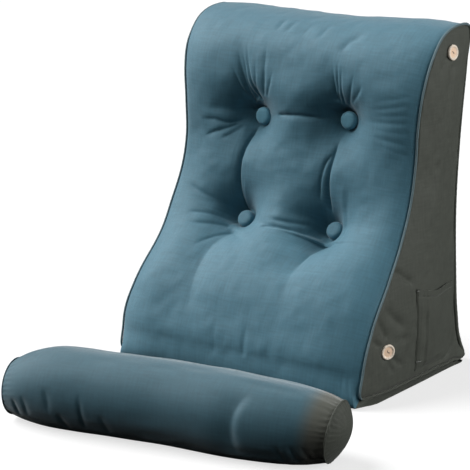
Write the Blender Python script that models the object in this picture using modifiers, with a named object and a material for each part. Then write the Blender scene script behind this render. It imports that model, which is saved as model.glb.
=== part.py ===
"""Reading pillow: a tufted wedge with corded side panels and a side pocket, and its loose bolster.

Metres, +Z up. The wedge leans on nothing: it stands on its base with its padded front towards -Y.
The shape of the wedge is worked out in its own frame, with X = 0 at its middle and Y = 0 at the
lower front corner of the side seam. Two empties place the wedge and the bolster in the world.
"""
import bisect
import math

import bmesh
import bpy
import numpy as np
from mathutils import Matrix, Vector

# Driving dimensions of the wedge
WIDTH = 0.490
SIDE_CROWN = 0.012
PANEL_CLOTH = 0.002
PANEL_INSET = 0.0012
SEWN_GAP = 0.0005
PIPING_RADIUS = 0.0024
PIPING_ROUNDNESS = 2
TUFT_SPACING = 0.178
TUFT_BUTTON_RADIUS = 0.016
TUFT_BUTTON_HEIGHT = 0.0095
WOOD_BUTTON_RADIUS = 0.0125
WOOD_BUTTON_HEIGHT = 0.0045
BUTTON_SIDES = 24

# Driving dimensions of the bolster
BOLSTER_RADIUS = 0.0667
BOLSTER_SAG = 0.0069
BOLSTER_DROOP = 0.0077
BOLSTER_DOME = 0.0180
BOLSTER_SIDES = 28
BOLSTER_TURN = math.radians(11.7)

# Where the two pieces stand, so that the set is centred on the world origin
WEDGE_PLACE = (-0.0567, 0.0252, 0.0)
BOLSTER_PLACE = (0.0243, -0.2638, 0.0)

# The closed outline of the side panel, face by face and once round: depth back from the lower
# front corner, height, how far the padding stands proud of the seam halfway across the wedge,
# and how far the seam is drawn in there.
OUTLINE_COLUMNS = ("y", "z", "crown", "drawn_in")
FRONT_ROWS = (
    (0.000, 0.019, 0.022, 0.000),
    (0.005, 0.058, 0.027, 0.000),
    (0.034, 0.124, 0.033, 0.001),
    (0.083, 0.188, 0.034, 0.003),
    (0.126, 0.246, 0.031, 0.006),
    (0.157, 0.306, 0.029, 0.008),
    (0.173, 0.370, 0.029, 0.009),
    (0.177, 0.436, 0.031, 0.008),
    (0.184, 0.490, 0.031, 0.004),
    (0.205, 0.541, 0.023, 0.001),
    (0.237, 0.576, 0.010, 0.000),
)
TOP_ROWS = (
    (0.237, 0.576, 0.010, 0.000),
    (0.280, 0.589, 0.005, 0.000),
    (0.320, 0.585, 0.004, 0.000),
)
BACK_ROWS = (
    (0.320, 0.585, 0.004, 0.000),
    (0.316, 0.530, 0.012, 0.001),
    (0.304, 0.400, 0.016, 0.004),
    (0.296, 0.280, 0.018, 0.004),
    (0.295, 0.180, 0.018, 0.002),
    (0.300, 0.090, 0.014, 0.000),
    (0.314, 0.040, 0.006, 0.000),
    (0.336, 0.012, -0.008, -0.004),
)
BASE_ROWS = (
    (0.336, 0.012, -0.008, -0.004),
    (0.300, 0.009, 0.000, 0.000),
    (0.180, 0.010, 0.000, 0.000),
    (0.070, 0.012, 0.004, 0.000),
    (0.020, 0.016, 0.014, 0.000),
    (0.000, 0.019, 0.022, 0.000),
)

# Underneath, from the flat part out to the seam: place across, how far the cloth swells aside
# there below the piping, its height as a share of the seam's, and its share of the crown
UNDER_COLUMNS = ("x", "aside", "height", "crown")
UNDER_ROWS = (
    (0.1780, 0.0000, 0.00, 1.00),
    (0.2000, 0.0070, 0.00, 0.98),
    (0.2190, 0.0185, 0.00, 0.95),
    (0.2330, 0.0225, 0.12, 0.85),
    (0.2415, -0.0015, 0.45, 0.20),
    (0.2450, 0.0000, 1.00, 0.00),
)
UNDER_EDGE_LIFT = 0.003
UNDER_EDGE_SWELL = 0.4
UNDER_SWELL_RAMP = 0.09
CROWN_SPREAD = 3.6
CROWN_ROUNDING = 0.68
SIDE_ROUNDING = 1.5
DRAWN_SPREAD = 8
RELIEF_SPREAD = 6

# Buttons pulled through the padding: across, along the front seam from the floor corner, depth
TUFT_X = TUFT_SPACING / 2
TUFT_LOW = 0.276
TUFT_HIGH = 0.451
TUFTS = {
    "tuft_button_lower_left": (-TUFT_X, TUFT_LOW, 0.056),
    "tuft_button_lower_right": (TUFT_X, TUFT_LOW, 0.056),
    "tuft_button_upper_left": (-TUFT_X, TUFT_HIGH, 0.057),
    "tuft_button_upper_right": (TUFT_X, TUFT_HIGH, 0.057),
}
TUFT_FLOOR = 0.018
TUFT_REACH = 0.030

# The upper pair of tufts is pulled a little out of level and to one side
UPPER_TILT = 0.019
UPPER_SHIFT = 0.001
UPPER_SPREAD = 0.09

# Folds that run from the tufts, from end to end: across and along the front at each end, how far
# the fold bows across, its depth and its half width
FOLD_COLUMNS = ("x0", "s0", "x1", "s1", "bow", "depth", "half_width")
FOLDS = (
    (-TUFT_X, TUFT_HIGH, -TUFT_X, TUFT_LOW, -0.006, 0.015, 0.012),
    (TUFT_X, TUFT_HIGH, TUFT_X, TUFT_LOW, -0.006, 0.015, 0.012),
    (-TUFT_X, TUFT_HIGH, TUFT_X, TUFT_HIGH, 0.000, 0.008, 0.015),
    (-TUFT_X, TUFT_LOW, TUFT_X, TUFT_LOW, 0.000, 0.007, 0.015),
    (-TUFT_X, TUFT_HIGH, -0.215, 0.457, 0.000, 0.008, 0.020),
    (TUFT_X, TUFT_HIGH, 0.215, 0.455, 0.000, 0.008, 0.020),
    (-TUFT_X, TUFT_LOW, -0.215, 0.266, 0.000, 0.006, 0.022),
    (TUFT_X, TUFT_LOW, 0.215, 0.266, 0.000, 0.006, 0.022),
    (-TUFT_X, TUFT_HIGH, -0.125, 0.590, 0.000, 0.008, 0.014),
    (TUFT_X, TUFT_HIGH, 0.070, 0.590, 0.000, 0.008, 0.014),
    (-TUFT_X, TUFT_LOW, -0.092, 0.040, -0.014, 0.010, 0.024),
    (TUFT_X, TUFT_LOW, 0.089, 0.020, -0.006, 0.012, 0.022),
)
FOLD_START = 0.036
FOLD_FADE = 0.03

# Side pocket: its four edges on the side panel, how far its front stands off and its hem
POCKET_FRONT_EDGE = 0.161
POCKET_BACK_EDGE = 0.272
POCKET_BOTTOM = 0.023
POCKET_MOUTH_FRONT = 0.168
POCKET_MOUTH_BACK = 0.149
POCKET_PLEAT = 0.009
POCKET_STAND_OFF = 0.011
POCKET_CLOTH = 0.0018
POCKET_CORNER_CUT = 0.012
POCKET_CORNER_WIDTH = 0.2
POCKET_MOUTH_SLOPE = 0.62
POCKET_BOTTOM_RISE = 0.11
POCKET_COLUMNS = (0.0, 0.03, 0.09, 0.2, 0.35, 0.5, 0.65, 0.8, 0.91, 0.97, 1.0)
POCKET_ROWS = (0.0, 0.03, 0.1, 0.22, 0.38, 0.54, 0.7, 0.84, 0.94, 1.0)

# Wooden buttons on the right side panel: depth and height of each
WOOD_BUTTONS = {
    "wood_button_top": (0.260, 0.549),
    "wood_button_front": (0.072, 0.079),
}

# Turned profiles of the buttons, as shares of their radius and height
TUFT_BUTTON_PROFILE = (
    (0.00, 1.00),
    (0.50, 0.93),
    (0.80, 0.72),
    (0.96, 0.42),
    (1.00, 0.20),
    (0.95, 0.00),
    (0.00, 0.00),
)
WOOD_BUTTON_PROFILE = (
    (0.00, 0.62),
    (0.64, 0.62),
    (0.74, 0.92),
    (0.88, 1.00),
    (1.00, 0.80),
    (1.00, 0.25),
    (0.90, 0.00),
    (0.00, 0.00),
)

# Turned profile of the bolster from its middle to its end: along the axis, radius
BOLSTER_ROWS = (
    (0.0000, 0.0667),
    (0.1000, 0.0665),
    (0.1500, 0.0655),
    (0.2000, 0.0623),
    (0.2250, 0.0591),
    (0.2500, 0.0542),
    (0.2730, 0.0472),
)
BOLSTER_RINGS = (0.273, 0.263, 0.247, 0.225, 0.195, 0.150, 0.095, 0.032)
BOLSTER_END_SHARES = (0.0, 0.45, 0.8)
BOLSTER_RIM_SHARE = 0.975

# Stations where the wedge is sliced, closer together near the tufts and the seams
TUFT_STEPS = (-0.068, -0.049, -0.032, -0.018, 0.0, 0.018, 0.032, 0.049, 0.068)
EDGE_STATIONS = (0.178, 0.200, 0.219, 0.233, 0.2415, 0.245)
FRONT_STATIONS = (0.0, 0.015, 0.035, 0.06, 0.09, 0.12, 0.15, 0.178)
UPPER_STATIONS = (0.538, 0.558, 0.578, 0.598)
DEPTH_STATIONS = (0.0, 0.09, 0.28, 0.5, 0.72, 0.91, 1.0)

COLOURS = {
    "front_cloth": (0.09, 0.18, 0.22),
    "side_cloth": (0.065, 0.070, 0.060),
    "wood": (0.66, 0.45, 0.27),
}
CLOTH_ROUGHNESS = 0.9
WOOD_ROUGHNESS = 0.55

NEAR = 1e-6


class Smooth:
    """A cubic through values at their stations, with the slopes of each value's neighbours."""

    def __init__(self, stations, values):
        self.stations = [float(station) for station in stations]
        self.values = [float(value) for value in values]
        self.slopes = [float(slope) for slope in np.gradient(values, stations)]

    def __call__(self, at):
        low = bisect.bisect_right(self.stations, at) - 1
        low = min(max(low, 0), len(self.stations) - 2)
        step = self.stations[low + 1] - self.stations[low]
        t = (at - self.stations[low]) / step
        start = (1 + 2 * t) * self.values[low] + t * step * self.slopes[low]
        end = (3 - 2 * t) * self.values[low + 1] - (1 - t) * step * self.slopes[low + 1]
        return (1 - t) ** 2 * start + t * t * end


class Outline:
    """The closed side outline. Its turn counts the faces: 0 front, 1 top, 2 back, 3 base, 4 front."""

    def __init__(self, faces):
        self.starts = [0.0]
        runs = []
        rows = []
        for table in faces:
            points = np.array(table)
            steps = np.hypot(*np.diff(points[:, :2], axis=0).T)
            run = self.starts[-1] + np.concatenate([[0.0], np.cumsum(steps)])
            self.starts.append(float(run[-1]))
            runs.extend(run[:-1])
            rows.extend(points[:-1])
        runs = np.array(runs)
        rows = np.array(rows)
        around = self.starts[-1]
        thrice = np.concatenate([runs - around, runs, runs + around])
        self.columns = {
            name: Smooth(thrice, np.tile(rows[:, index], 3))
            for index, name in enumerate(OUTLINE_COLUMNS)
        }

    def run(self, turn):
        """Length of the outline from the lower front corner to a turn."""
        face = min(int(turn), len(self.starts) - 2)
        return self.starts[face] + (turn - face) * (self.starts[face + 1] - self.starts[face])

    def value(self, name, turn):
        return self.columns[name](self.run(turn))

    def point(self, turn):
        return Vector((self.value("y", turn), self.value("z", turn)))

    def normal(self, turn, reach=0.006):
        """Outward, square to the outline."""
        ahead = self.run(turn) + reach
        behind = self.run(turn) - reach
        along = Vector([self.columns[name](ahead) - self.columns[name](behind) for name in "yz"])
        return Vector((-along.y, along.x)).normalized()

    def between(self, read, up, back):
        """What lies inside the outline, blended from its four edges."""
        edges = read(up) * (1 - back) + read(3.0 - up) * back
        edges += read(4.0 - back) * (1 - up) + read(1.0 + back) * up
        low = read(0.0) * (1 - back) + read(3.0) * back
        high = read(1.0) * (1 - back) + read(2.0) * back
        return edges - low * (1 - up) - high * up


OUTLINE = Outline((FRONT_ROWS, TOP_ROWS, BACK_ROWS, BASE_ROWS))
FRONT_LENGTH = OUTLINE.starts[1]


def rounded(across):
    """Share of the crown at a place across, from 1 in the middle to 0 at the seams."""
    return (1.0 - min(abs(across), 1.0) ** CROWN_SPREAD) ** CROWN_ROUNDING


def tuft_relief(x, s):
    """Depth of the dimples, blended so that neighbours do not add up."""
    total = 0.0
    for tuft_x, tuft_s, depth in TUFTS.values():
        away = max(math.hypot(x - tuft_x, s - tuft_s) - TUFT_FLOOR * math.sqrt(2.0), 0.0)
        total += (depth * math.exp(-away / TUFT_REACH)) ** 3
    return total ** (1.0 / 3.0)


def fold_relief(x, s):
    """Depth of the folds, which fade out at both ends."""
    total = 0.0
    for row in FOLDS:
        fold = dict(zip(FOLD_COLUMNS, row))
        start = Vector((fold["x0"], fold["s0"]))
        run = Vector((fold["x1"], fold["s1"])) - start
        length = run.length
        along = (Vector((x, s)) - start).dot(run) / length ** 2
        if not 0.0 < along < 1.0:
            continue
        bowed = start + run * along + Vector((fold["bow"] * math.sin(math.pi * along), 0.0))
        away = (Vector((x, s)) - bowed).length
        ends_at_tuft = (fold["x1"], fold["s1"]) in [(at, up) for at, up, _ in TUFTS.values()]
        fade_in = max(along * length - FOLD_START, 0.0) / FOLD_FADE
        fade_out = (1.0 - along) * length / (2 * FOLD_FADE)
        if ends_at_tuft:
            fade_out = max((1.0 - along) * length - FOLD_START, 0.0) / FOLD_FADE
        faded = fold["depth"] * min(fade_in, 1.0) * min(fade_out, 1.0)
        total += faded * math.exp(-(away / fold["half_width"]) ** 2)
    return total


def front_height(x, turn):
    """How far the front stands proud of the seam at a place across."""
    across = x / (WIDTH / 2)
    s = turn * FRONT_LENGTH
    held = 1.0 - min(abs(across), 1.0) ** RELIEF_SPREAD
    relief = tuft_relief(x, s) + fold_relief(x, s)
    return OUTLINE.value("crown", turn) * rounded(across) - relief * held


def seam_x(x, turn):
    """A place across, with the sides drawn in near the seams."""
    across = x / (WIDTH / 2)
    return x - math.copysign(OUTLINE.value("drawn_in", turn) * abs(across) ** DRAWN_SPREAD, across)


def skin_point(x, turn):
    """A point of the padded cover round the wedge, at a place across and a turn of the outline."""
    across = x / (WIDTH / 2)
    height = OUTLINE.value("crown", turn) * rounded(across)
    if turn <= 1.0:
        height = front_height(x, turn)
        upper = TUFTS["tuft_button_upper_left"][1]
        pull = math.exp(-((turn * FRONT_LENGTH - upper) / UPPER_SPREAD) ** 2) * (1.0 - across ** 2)
        turn += UPPER_TILT * across * pull / FRONT_LENGTH
        x += UPPER_SHIFT * pull
    out = OUTLINE.point(turn) + OUTLINE.normal(turn) * height
    return Vector((seam_x(x, turn), out.x, out.y))


def under_point(x, turn):
    """A point of the underside, flat on the floor up to the swell below the piping."""
    columns = dict(zip(UNDER_COLUMNS, np.array(UNDER_ROWS).T))
    aside, height, crown = (
        float(np.interp(abs(x), columns["x"], columns[name])) for name in UNDER_COLUMNS[1:]
    )
    place = OUTLINE.point(turn)
    fore = OUTLINE.normal(turn).x * OUTLINE.value("crown", turn) * crown
    from_edge = min(turn - 3.0, 4.0 - turn)
    level = place.y * height
    if from_edge < NEAR:
        level = max(level, UNDER_EDGE_LIFT)
    ramp = min(from_edge / UNDER_SWELL_RAMP, 1.0)
    swell = math.copysign(1.0, x) * aside * (UNDER_EDGE_SWELL + (1.0 - UNDER_EDGE_SWELL) * ramp)
    return Vector((seam_x(x, turn) + swell, place.x + fore, level))


def side_point(up, back, sign, proud=0.0):
    """A point of the side face between the outline's four edges, standing proud by so much."""
    place = OUTLINE.between(OUTLINE.point, up, back)
    drawn = OUTLINE.between(lambda turn: OUTLINE.value("drawn_in", turn), up, back)
    bulge = SIDE_CROWN * (1 - (2 * back - 1) ** 2) ** SIDE_ROUNDING * (1 - (2 * up - 1) ** 4)
    return Vector((sign * (WIDTH / 2 - drawn + bulge + proud), place.x, place.y))


def side_place(y, z):
    """The shares up and back of the side face that lie at a depth and a height."""
    up = back = 0.5
    for _ in range(40):
        here = side_point(up, back, 1)
        up_step = (side_point(up + 0.01, back, 1) - here) / 0.01
        back_step = (side_point(up, back + 0.01, 1) - here) / 0.01
        miss = Vector((y - here.y, z - here.z))
        slope = Matrix(((up_step.y, back_step.y), (up_step.z, back_step.z)))
        change = slope.inverted() @ miss
        up = min(max(up + change.x, 0.02), 0.98)
        back = min(max(back + change.y, 0.02), 0.98)
    return up, back


def linked(name, mesh, collection, parent, material):
    """An object of a mesh, shaded smooth, in its collection, under its empty."""
    obj = bpy.data.objects.new(name, mesh)
    collection.objects.link(obj)
    obj.parent = parent
    mesh.materials.append(material)
    mesh.shade_smooth()
    return obj


def cloth_or_wood(name, roughness):
    material = bpy.data.materials.new(name)
    material.use_nodes = True
    shader = material.node_tree.nodes["Principled BSDF"]
    shader.inputs["Base Color"].default_value = (*COLOURS[name], 1.0)
    shader.inputs["Roughness"].default_value = roughness
    shader.inputs["Metallic"].default_value = 0.0
    material.diffuse_color = (*COLOURS[name], 1.0)
    return material


def across_stations():
    """Places across where the wedge is sliced, from seam to seam."""
    right = [TUFT_SPACING / 2 + step for step in TUFT_STEPS] + list(EDGE_STATIONS)
    return sorted([-x for x in right] + [0.0] + right)


def up_stations():
    """Shares of the front seam where the wedge is sliced, from the floor to the top."""
    rows = {s for s in FRONT_STATIONS + UPPER_STATIONS}
    for _, tuft_s, _ in TUFTS.values():
        rows |= {round(tuft_s + step, 4) for step in TUFT_STEPS}
    return [s / FRONT_LENGTH for s in sorted(rows)] + [1.0]


def sliced_block(cuts):
    """A unit block sliced across each axis at the stations between its ends."""
    block = bmesh.new()
    bmesh.ops.create_cube(block, size=1.0, matrix=Matrix.Translation((0.5, 0.5, 0.5)))
    for axis, stations in enumerate(cuts):
        for station in stations[1:-1]:
            place = Vector()
            place[axis] = station
            normal = Vector()
            normal[axis] = 1.0
            everything = block.verts[:] + block.edges[:] + block.faces[:]
            bmesh.ops.bisect_plane(block, geom=everything, plane_co=place, plane_no=normal)
    return block


def split_alike(faces, share_of):
    """Splits quads from the corner of the lowest shares to that of the highest."""
    for face in list(faces):
        corners = sorted(face.verts, key=lambda vert: sum(share_of(vert)))
        bmesh.utils.face_split(face, corners[0], corners[-1])


def wedge_turn(up, back):
    """The outline's turn at a place on the block's front, top, back or base."""
    if back < NEAR:
        return up if up > NEAR else 4.0
    if up > 1.0 - NEAR:
        return 1.0 + back
    if back > 1.0 - NEAR:
        return 3.0 - up
    return 4.0 - back


def make_wedge(collection, parent, material):
    """The filled body with its crown, drawn-in sides, dimples and folds."""
    across = [x / WIDTH + 0.5 for x in across_stations()]
    block = sliced_block((across, DEPTH_STATIONS, up_stations()))
    ends = [face for face in block.faces if abs(face.normal.x) > 0.5]
    split_alike(ends, lambda vert: vert.co.yz)
    for vert in block.verts:
        share, back, up = vert.co
        on_rim = min(up, 1.0 - up, back, 1.0 - back) < NEAR
        if on_rim:
            x = (share - 0.5) * WIDTH
            turn = wedge_turn(up, back)
            vert.co = under_point(x, turn) if up < NEAR else skin_point(x, turn)
        else:
            vert.co = side_point(up, back, 1 if share > 0.5 else -1)
    mesh = bpy.data.meshes.new("wedge")
    block.to_mesh(mesh)
    block.free()
    return linked("wedge", mesh, collection, parent, material)


def make_side_panel(name, sign, collection, parent, material):
    """The sewn side panel, a sheet that lies on the wedge's side just inside the seam."""
    rows = up_stations()
    sheet = bmesh.new()
    bmesh.ops.create_grid(
        sheet, x_segments=len(DEPTH_STATIONS) - 1, y_segments=len(rows) - 1, size=0.5
    )
    split_alike(sheet.faces, lambda vert: vert.co.xy)
    for vert in sheet.verts:
        back = DEPTH_STATIONS[round((vert.co.x + 0.5) * (len(DEPTH_STATIONS) - 1))]
        up = rows[round((vert.co.y + 0.5) * (len(rows) - 1))]
        spot = side_point(up, back, sign, SEWN_GAP)
        on_rim = min(up, 1.0 - up, back, 1.0 - back) < NEAR
        if on_rim:
            inward = OUTLINE.normal(wedge_turn(up, back)) * -PANEL_INSET
            spot += Vector((0.0, inward.x, inward.y))
        vert.co = spot
    if sign < 0:
        bmesh.ops.reverse_faces(sheet, faces=sheet.faces[:])
    mesh = bpy.data.meshes.new(name)
    sheet.to_mesh(mesh)
    sheet.free()
    panel = linked(name, mesh, collection, parent, material)
    thicken(panel, PANEL_CLOTH)
    return panel


def thicken(obj, thickness):
    """Gives a sheet its thickness on the side that its faces point to."""
    solid = obj.modifiers.new("cloth", "SOLIDIFY")
    solid.thickness = thickness
    solid.offset = 1.0
    solid.use_even_offset = False


def make_piping(name, sign, collection, parent, material):
    """The covered cord sewn into the seam all round a side panel."""
    ups = up_stations()
    turns = (
        ups[:-1]
        + [1.0 + back for back in DEPTH_STATIONS[:-1]]
        + [3.0 - up for up in reversed(ups[1:])]
        + [4.0 - back for back in reversed(DEPTH_STATIONS[1:])]
    )
    places = [OUTLINE.point(turn) for turn in turns]
    curve = bpy.data.curves.new(name, "CURVE")
    curve.dimensions = "3D"
    curve.bevel_depth = PIPING_RADIUS
    curve.bevel_resolution = PIPING_ROUNDNESS
    spline = curve.splines.new("POLY")
    spline.points.add(len(turns) - 1)
    spline.use_cyclic_u = True
    aside = PANEL_CLOTH / 2 + SEWN_GAP
    proud = PIPING_RADIUS + SEWN_GAP / 2
    for index, turn in enumerate(turns):
        before = (places[index] - places[index - 1]).normalized()
        after = (places[(index + 1) % len(places)] - places[index]).normalized()
        normals = Vector((-before.y, before.x)), Vector((-after.y, after.x))
        mitre = (normals[0] + normals[1]) / (1.0 + normals[0].dot(normals[1]))
        place = places[index] + mitre * proud
        x = sign * (abs(seam_x(WIDTH / 2, turn)) + aside)
        spline.points[index].co = (x, place.x, place.y, 1.0)
    piping = bpy.data.objects.new(name, curve)
    collection.objects.link(piping)
    piping.parent = parent
    curve.materials.append(material)
    return piping


def turned(name, profile, steps, collection, parent, material):
    """A solid turned about its own Z from a profile of radius and height, top to bottom."""
    mesh = bpy.data.meshes.new(name)
    points = [(radius, 0.0, height) for radius, height in profile]
    mesh.from_pydata(points, [(i, i + 1) for i in range(len(points) - 1)], [])
    obj = linked(name, mesh, collection, parent, material)
    screw = obj.modifiers.new("turn", "SCREW")
    screw.steps = steps
    screw.render_steps = steps
    screw.use_merge_vertices = True
    screw.merge_threshold = 0.00005
    return obj


def stand_on(obj, place, normal):
    """Puts an object's base at a place, with its Z along a normal."""
    obj.matrix_local = Matrix.Translation(place) @ normal.to_track_quat("Z", "X").to_matrix().to_4x4()


def make_tuft_buttons(collection, parent, material):
    """Covered buttons, each on the flat floor of its dimple."""
    profile = [
        (TUFT_BUTTON_RADIUS * out, TUFT_BUTTON_HEIGHT * high) for out, high in TUFT_BUTTON_PROFILE
    ]
    for name, (x, s, _) in TUFTS.items():
        turn = s / FRONT_LENGTH
        floor = skin_point(x, turn)
        rise = 0.01
        run = 0.005
        up = skin_point(x, turn + rise) - skin_point(x, turn - rise)
        right = skin_point(x + run, turn) - skin_point(x - run, turn)
        normal = right.cross(up).normalized()
        button = turned(name, profile, BUTTON_SIDES, collection, parent, material)
        stand_on(button, floor + normal * SEWN_GAP, normal)


def make_wood_buttons(collection, parent, material):
    """Dished wooden buttons sewn on the right side panel."""
    profile = [
        (WOOD_BUTTON_RADIUS * out, WOOD_BUTTON_HEIGHT * high) for out, high in WOOD_BUTTON_PROFILE
    ]
    for name, (y, z) in WOOD_BUTTONS.items():
        up, back = side_place(y, z)
        on_panel = SEWN_GAP + PANEL_CLOTH
        here = side_point(up, back, 1, on_panel)
        rise = side_point(up + 0.02, back, 1, on_panel) - side_point(up - 0.02, back, 1, on_panel)
        run = side_point(up, back + 0.04, 1, on_panel) - side_point(up, back - 0.04, 1, on_panel)
        normal = run.cross(rise).normalized()
        button = turned(name, profile, BUTTON_SIDES, collection, parent, material)
        stand_on(button, here + normal * SEWN_GAP, normal)


def make_pocket(collection, parent, material):
    """The side pocket: sewn down at both edges and along its bottom, open at its mouth."""
    columns = POCKET_COLUMNS
    rows = POCKET_ROWS
    sheet = bmesh.new()
    bmesh.ops.create_grid(sheet, x_segments=len(columns) - 1, y_segments=len(rows) - 1, size=0.5)
    width = POCKET_BACK_EDGE - POCKET_FRONT_EDGE
    for vert in sheet.verts:
        along = columns[round((vert.co.x + 0.5) * (len(columns) - 1))]
        up = rows[round((vert.co.y + 0.5) * (len(rows) - 1))]
        cut = POCKET_CORNER_CUT * max(0.0, 1.0 - (1.0 - along) / POCKET_CORNER_WIDTH) ** 2
        bottom = POCKET_BOTTOM + cut * (1 - up) ** 6
        dip = (POCKET_MOUTH_FRONT - POCKET_MOUTH_BACK) * min(along / POCKET_MOUTH_SLOPE, 1.0)
        y = POCKET_FRONT_EDGE + width * along
        z = bottom + (POCKET_MOUTH_FRONT - dip - bottom) * up
        panel = side_point(*side_place(y, z), 1, SEWN_GAP + PANEL_CLOTH).x + 2 * SEWN_GAP
        inside = min(along, 1.0 - along) * width / POCKET_PLEAT
        lift = min(inside, 1.0) * min(up / POCKET_BOTTOM_RISE, 1.0)
        vert.co = (panel + POCKET_STAND_OFF * math.sin(lift * math.pi / 2), y, z)
    mesh = bpy.data.meshes.new("pocket")
    sheet.to_mesh(mesh)
    sheet.free()
    pocket = linked("pocket", mesh, collection, parent, material)
    thicken(pocket, POCKET_CLOTH)
    return pocket


def bolster_axis(along):
    """Height of the bolster's axis, which droops towards both ends."""
    share = min(abs(along) / BOLSTER_ROWS[-1][0], 1.0)
    return BOLSTER_RADIUS - BOLSTER_SAG - BOLSTER_DROOP * share ** 2


def make_bolster(collection, parent, material):
    """The filled bolster, turned about its own X, flat underneath where it rests."""
    bolster_radius = Smooth(*np.array(BOLSTER_ROWS).T)
    seam, seam_radius = BOLSTER_ROWS[-1]
    ends = [
        (seam + BOLSTER_DOME * (1 - share ** 2), seam_radius * share) for share in BOLSTER_END_SHARES
    ]
    half = ends + [(along, bolster_radius(along)) for along in BOLSTER_RINGS]
    profile = half + [(-along, radius) for along, radius in reversed(half)]
    ball = bmesh.new()
    count = len(profile) - 1
    bmesh.ops.create_uvsphere(ball, u_segments=BOLSTER_SIDES, v_segments=count, radius=1.0)
    for vert in ball.verts:
        ring = round(math.acos(min(max(vert.co.z, -1.0), 1.0)) / math.pi * count)
        along, radius = profile[ring]
        angle = math.atan2(vert.co.y, vert.co.x)
        level = max(bolster_axis(along) + radius * math.cos(angle), 0.0)
        vert.co = (along, -radius * math.sin(angle), level)
    mesh = bpy.data.meshes.new("bolster")
    ball.to_mesh(mesh)
    ball.free()
    return linked("bolster", mesh, collection, parent, material)


def make_bolster_end(name, sign, collection, parent, material):
    """The round panel sewn into one end of the bolster."""
    seam, seam_radius = BOLSTER_ROWS[-1]
    shares = BOLSTER_END_SHARES + (BOLSTER_RIM_SHARE,)
    domed = [(seam_radius * share, BOLSTER_DOME * (1 - share ** 2)) for share in shares]
    outer = [(radius, height + PANEL_CLOTH) for radius, height in domed]
    inner = list(reversed(domed))
    end = turned(name, outer + inner, BOLSTER_SIDES, collection, parent, material)
    place = Vector((sign * (seam + SEWN_GAP), 0.0, bolster_axis(seam)))
    stand_on(end, place, Vector((sign, 0.0, 0.0)))
    return end


def clear_scene():
    for obj in list(bpy.data.objects):
        bpy.data.objects.remove(obj, do_unlink=True)


def placed_empty(name, collection, place, turn=0.0):
    empty = bpy.data.objects.new(name, None)
    collection.objects.link(empty)
    empty.location = place
    empty.rotation_euler.z = turn
    return empty


def main():
    clear_scene()
    collection = bpy.data.collections.new("reading_pillow")
    bpy.context.scene.collection.children.link(collection)
    front = cloth_or_wood("front_cloth", CLOTH_ROUGHNESS)
    side = cloth_or_wood("side_cloth", CLOTH_ROUGHNESS)
    wood = cloth_or_wood("wood", WOOD_ROUGHNESS)

    wedge = placed_empty("wedge_frame", collection, WEDGE_PLACE)
    make_wedge(collection, wedge, front)
    make_side_panel("side_panel_right", 1, collection, wedge, side)
    make_side_panel("side_panel_left", -1, collection, wedge, side)
    make_piping("piping_right", 1, collection, wedge, front)
    make_piping("piping_left", -1, collection, wedge, front)
    make_tuft_buttons(collection, wedge, front)
    make_wood_buttons(collection, wedge, wood)
    make_pocket(collection, wedge, side)

    bolster = placed_empty("bolster_frame", collection, BOLSTER_PLACE, BOLSTER_TURN)
    make_bolster(collection, bolster, front)
    make_bolster_end("bolster_end_right", 1, collection, bolster, side)
    make_bolster_end("bolster_end_left", -1, collection, bolster, side)


main()
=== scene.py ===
"""Looks of the reading pillow: covers, side cloths, piping, pocket, buttons, bolster, light, camera.

Metres, +Z up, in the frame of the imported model. The wedge's own frame has X = 0 at its middle and
Y = 0 at the lower front corner of the side seam. Most sizes repeat those of the model's source.
The rows of the outline and the bolster, the folds, the swells and the shifts are in millimetres.
"""

import math

import bpy
import numpy as np
from mathutils import Matrix, Vector

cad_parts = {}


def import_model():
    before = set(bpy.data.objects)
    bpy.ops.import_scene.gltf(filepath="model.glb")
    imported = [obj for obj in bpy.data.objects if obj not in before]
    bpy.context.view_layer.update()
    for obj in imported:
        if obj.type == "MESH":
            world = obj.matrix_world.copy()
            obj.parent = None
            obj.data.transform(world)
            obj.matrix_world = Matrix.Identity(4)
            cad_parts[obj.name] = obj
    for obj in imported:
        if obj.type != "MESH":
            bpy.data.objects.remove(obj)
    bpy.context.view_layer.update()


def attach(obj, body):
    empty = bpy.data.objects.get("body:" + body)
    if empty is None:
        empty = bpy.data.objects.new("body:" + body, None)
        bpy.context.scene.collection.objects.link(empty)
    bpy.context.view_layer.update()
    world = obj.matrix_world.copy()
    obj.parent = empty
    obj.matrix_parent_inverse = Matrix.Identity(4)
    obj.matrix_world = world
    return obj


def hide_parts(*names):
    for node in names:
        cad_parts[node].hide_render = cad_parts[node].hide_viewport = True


SIDES = {"right": 1, "left": -1}

# Driving dimensions of the wedge
HALF_WIDTH = 0.245
SIDE_CROWN = 0.012
PANEL_CLOTH = 0.002
SEWN_GAP = 0.0005
WEDGE_PLACE = Vector((-0.0567, 0.0252, 0.0))

# The closed outline of the side: depth back, height, crown of the padding, seam drawn in
FRONT_ROWS = (
    (0, 19, 22, 0),
    (5, 58, 27, 0),
    (34, 124, 33, 1),
    (83, 188, 34, 3),
    (126, 246, 31, 6),
    (157, 306, 29, 8),
    (173, 370, 29, 9),
    (177, 436, 31, 8),
    (184, 490, 31, 4),
    (205, 541, 23, 1),
    (237, 576, 10, 0),
)
TOP_ROWS = (FRONT_ROWS[-1], (280, 589, 5, 0), (320, 585, 4, 0))
BACK_ROWS = (
    TOP_ROWS[-1],
    (316, 530, 12, 1),
    (304, 400, 16, 4),
    (296, 280, 18, 4),
    (295, 180, 18, 2),
    (300, 90, 14, 0),
    (314, 40, 6, 0),
    (336, 12, -8, -4),
)
BASE_ROWS = (
    BACK_ROWS[-1],
    (300, 9, 0, 0),
    (180, 10, 0, 0),
    (70, 12, 4, 0),
    (20, 16, 14, 0),
    FRONT_ROWS[0],
)
Y, Z, CROWN, DRAWN = range(4)

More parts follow.
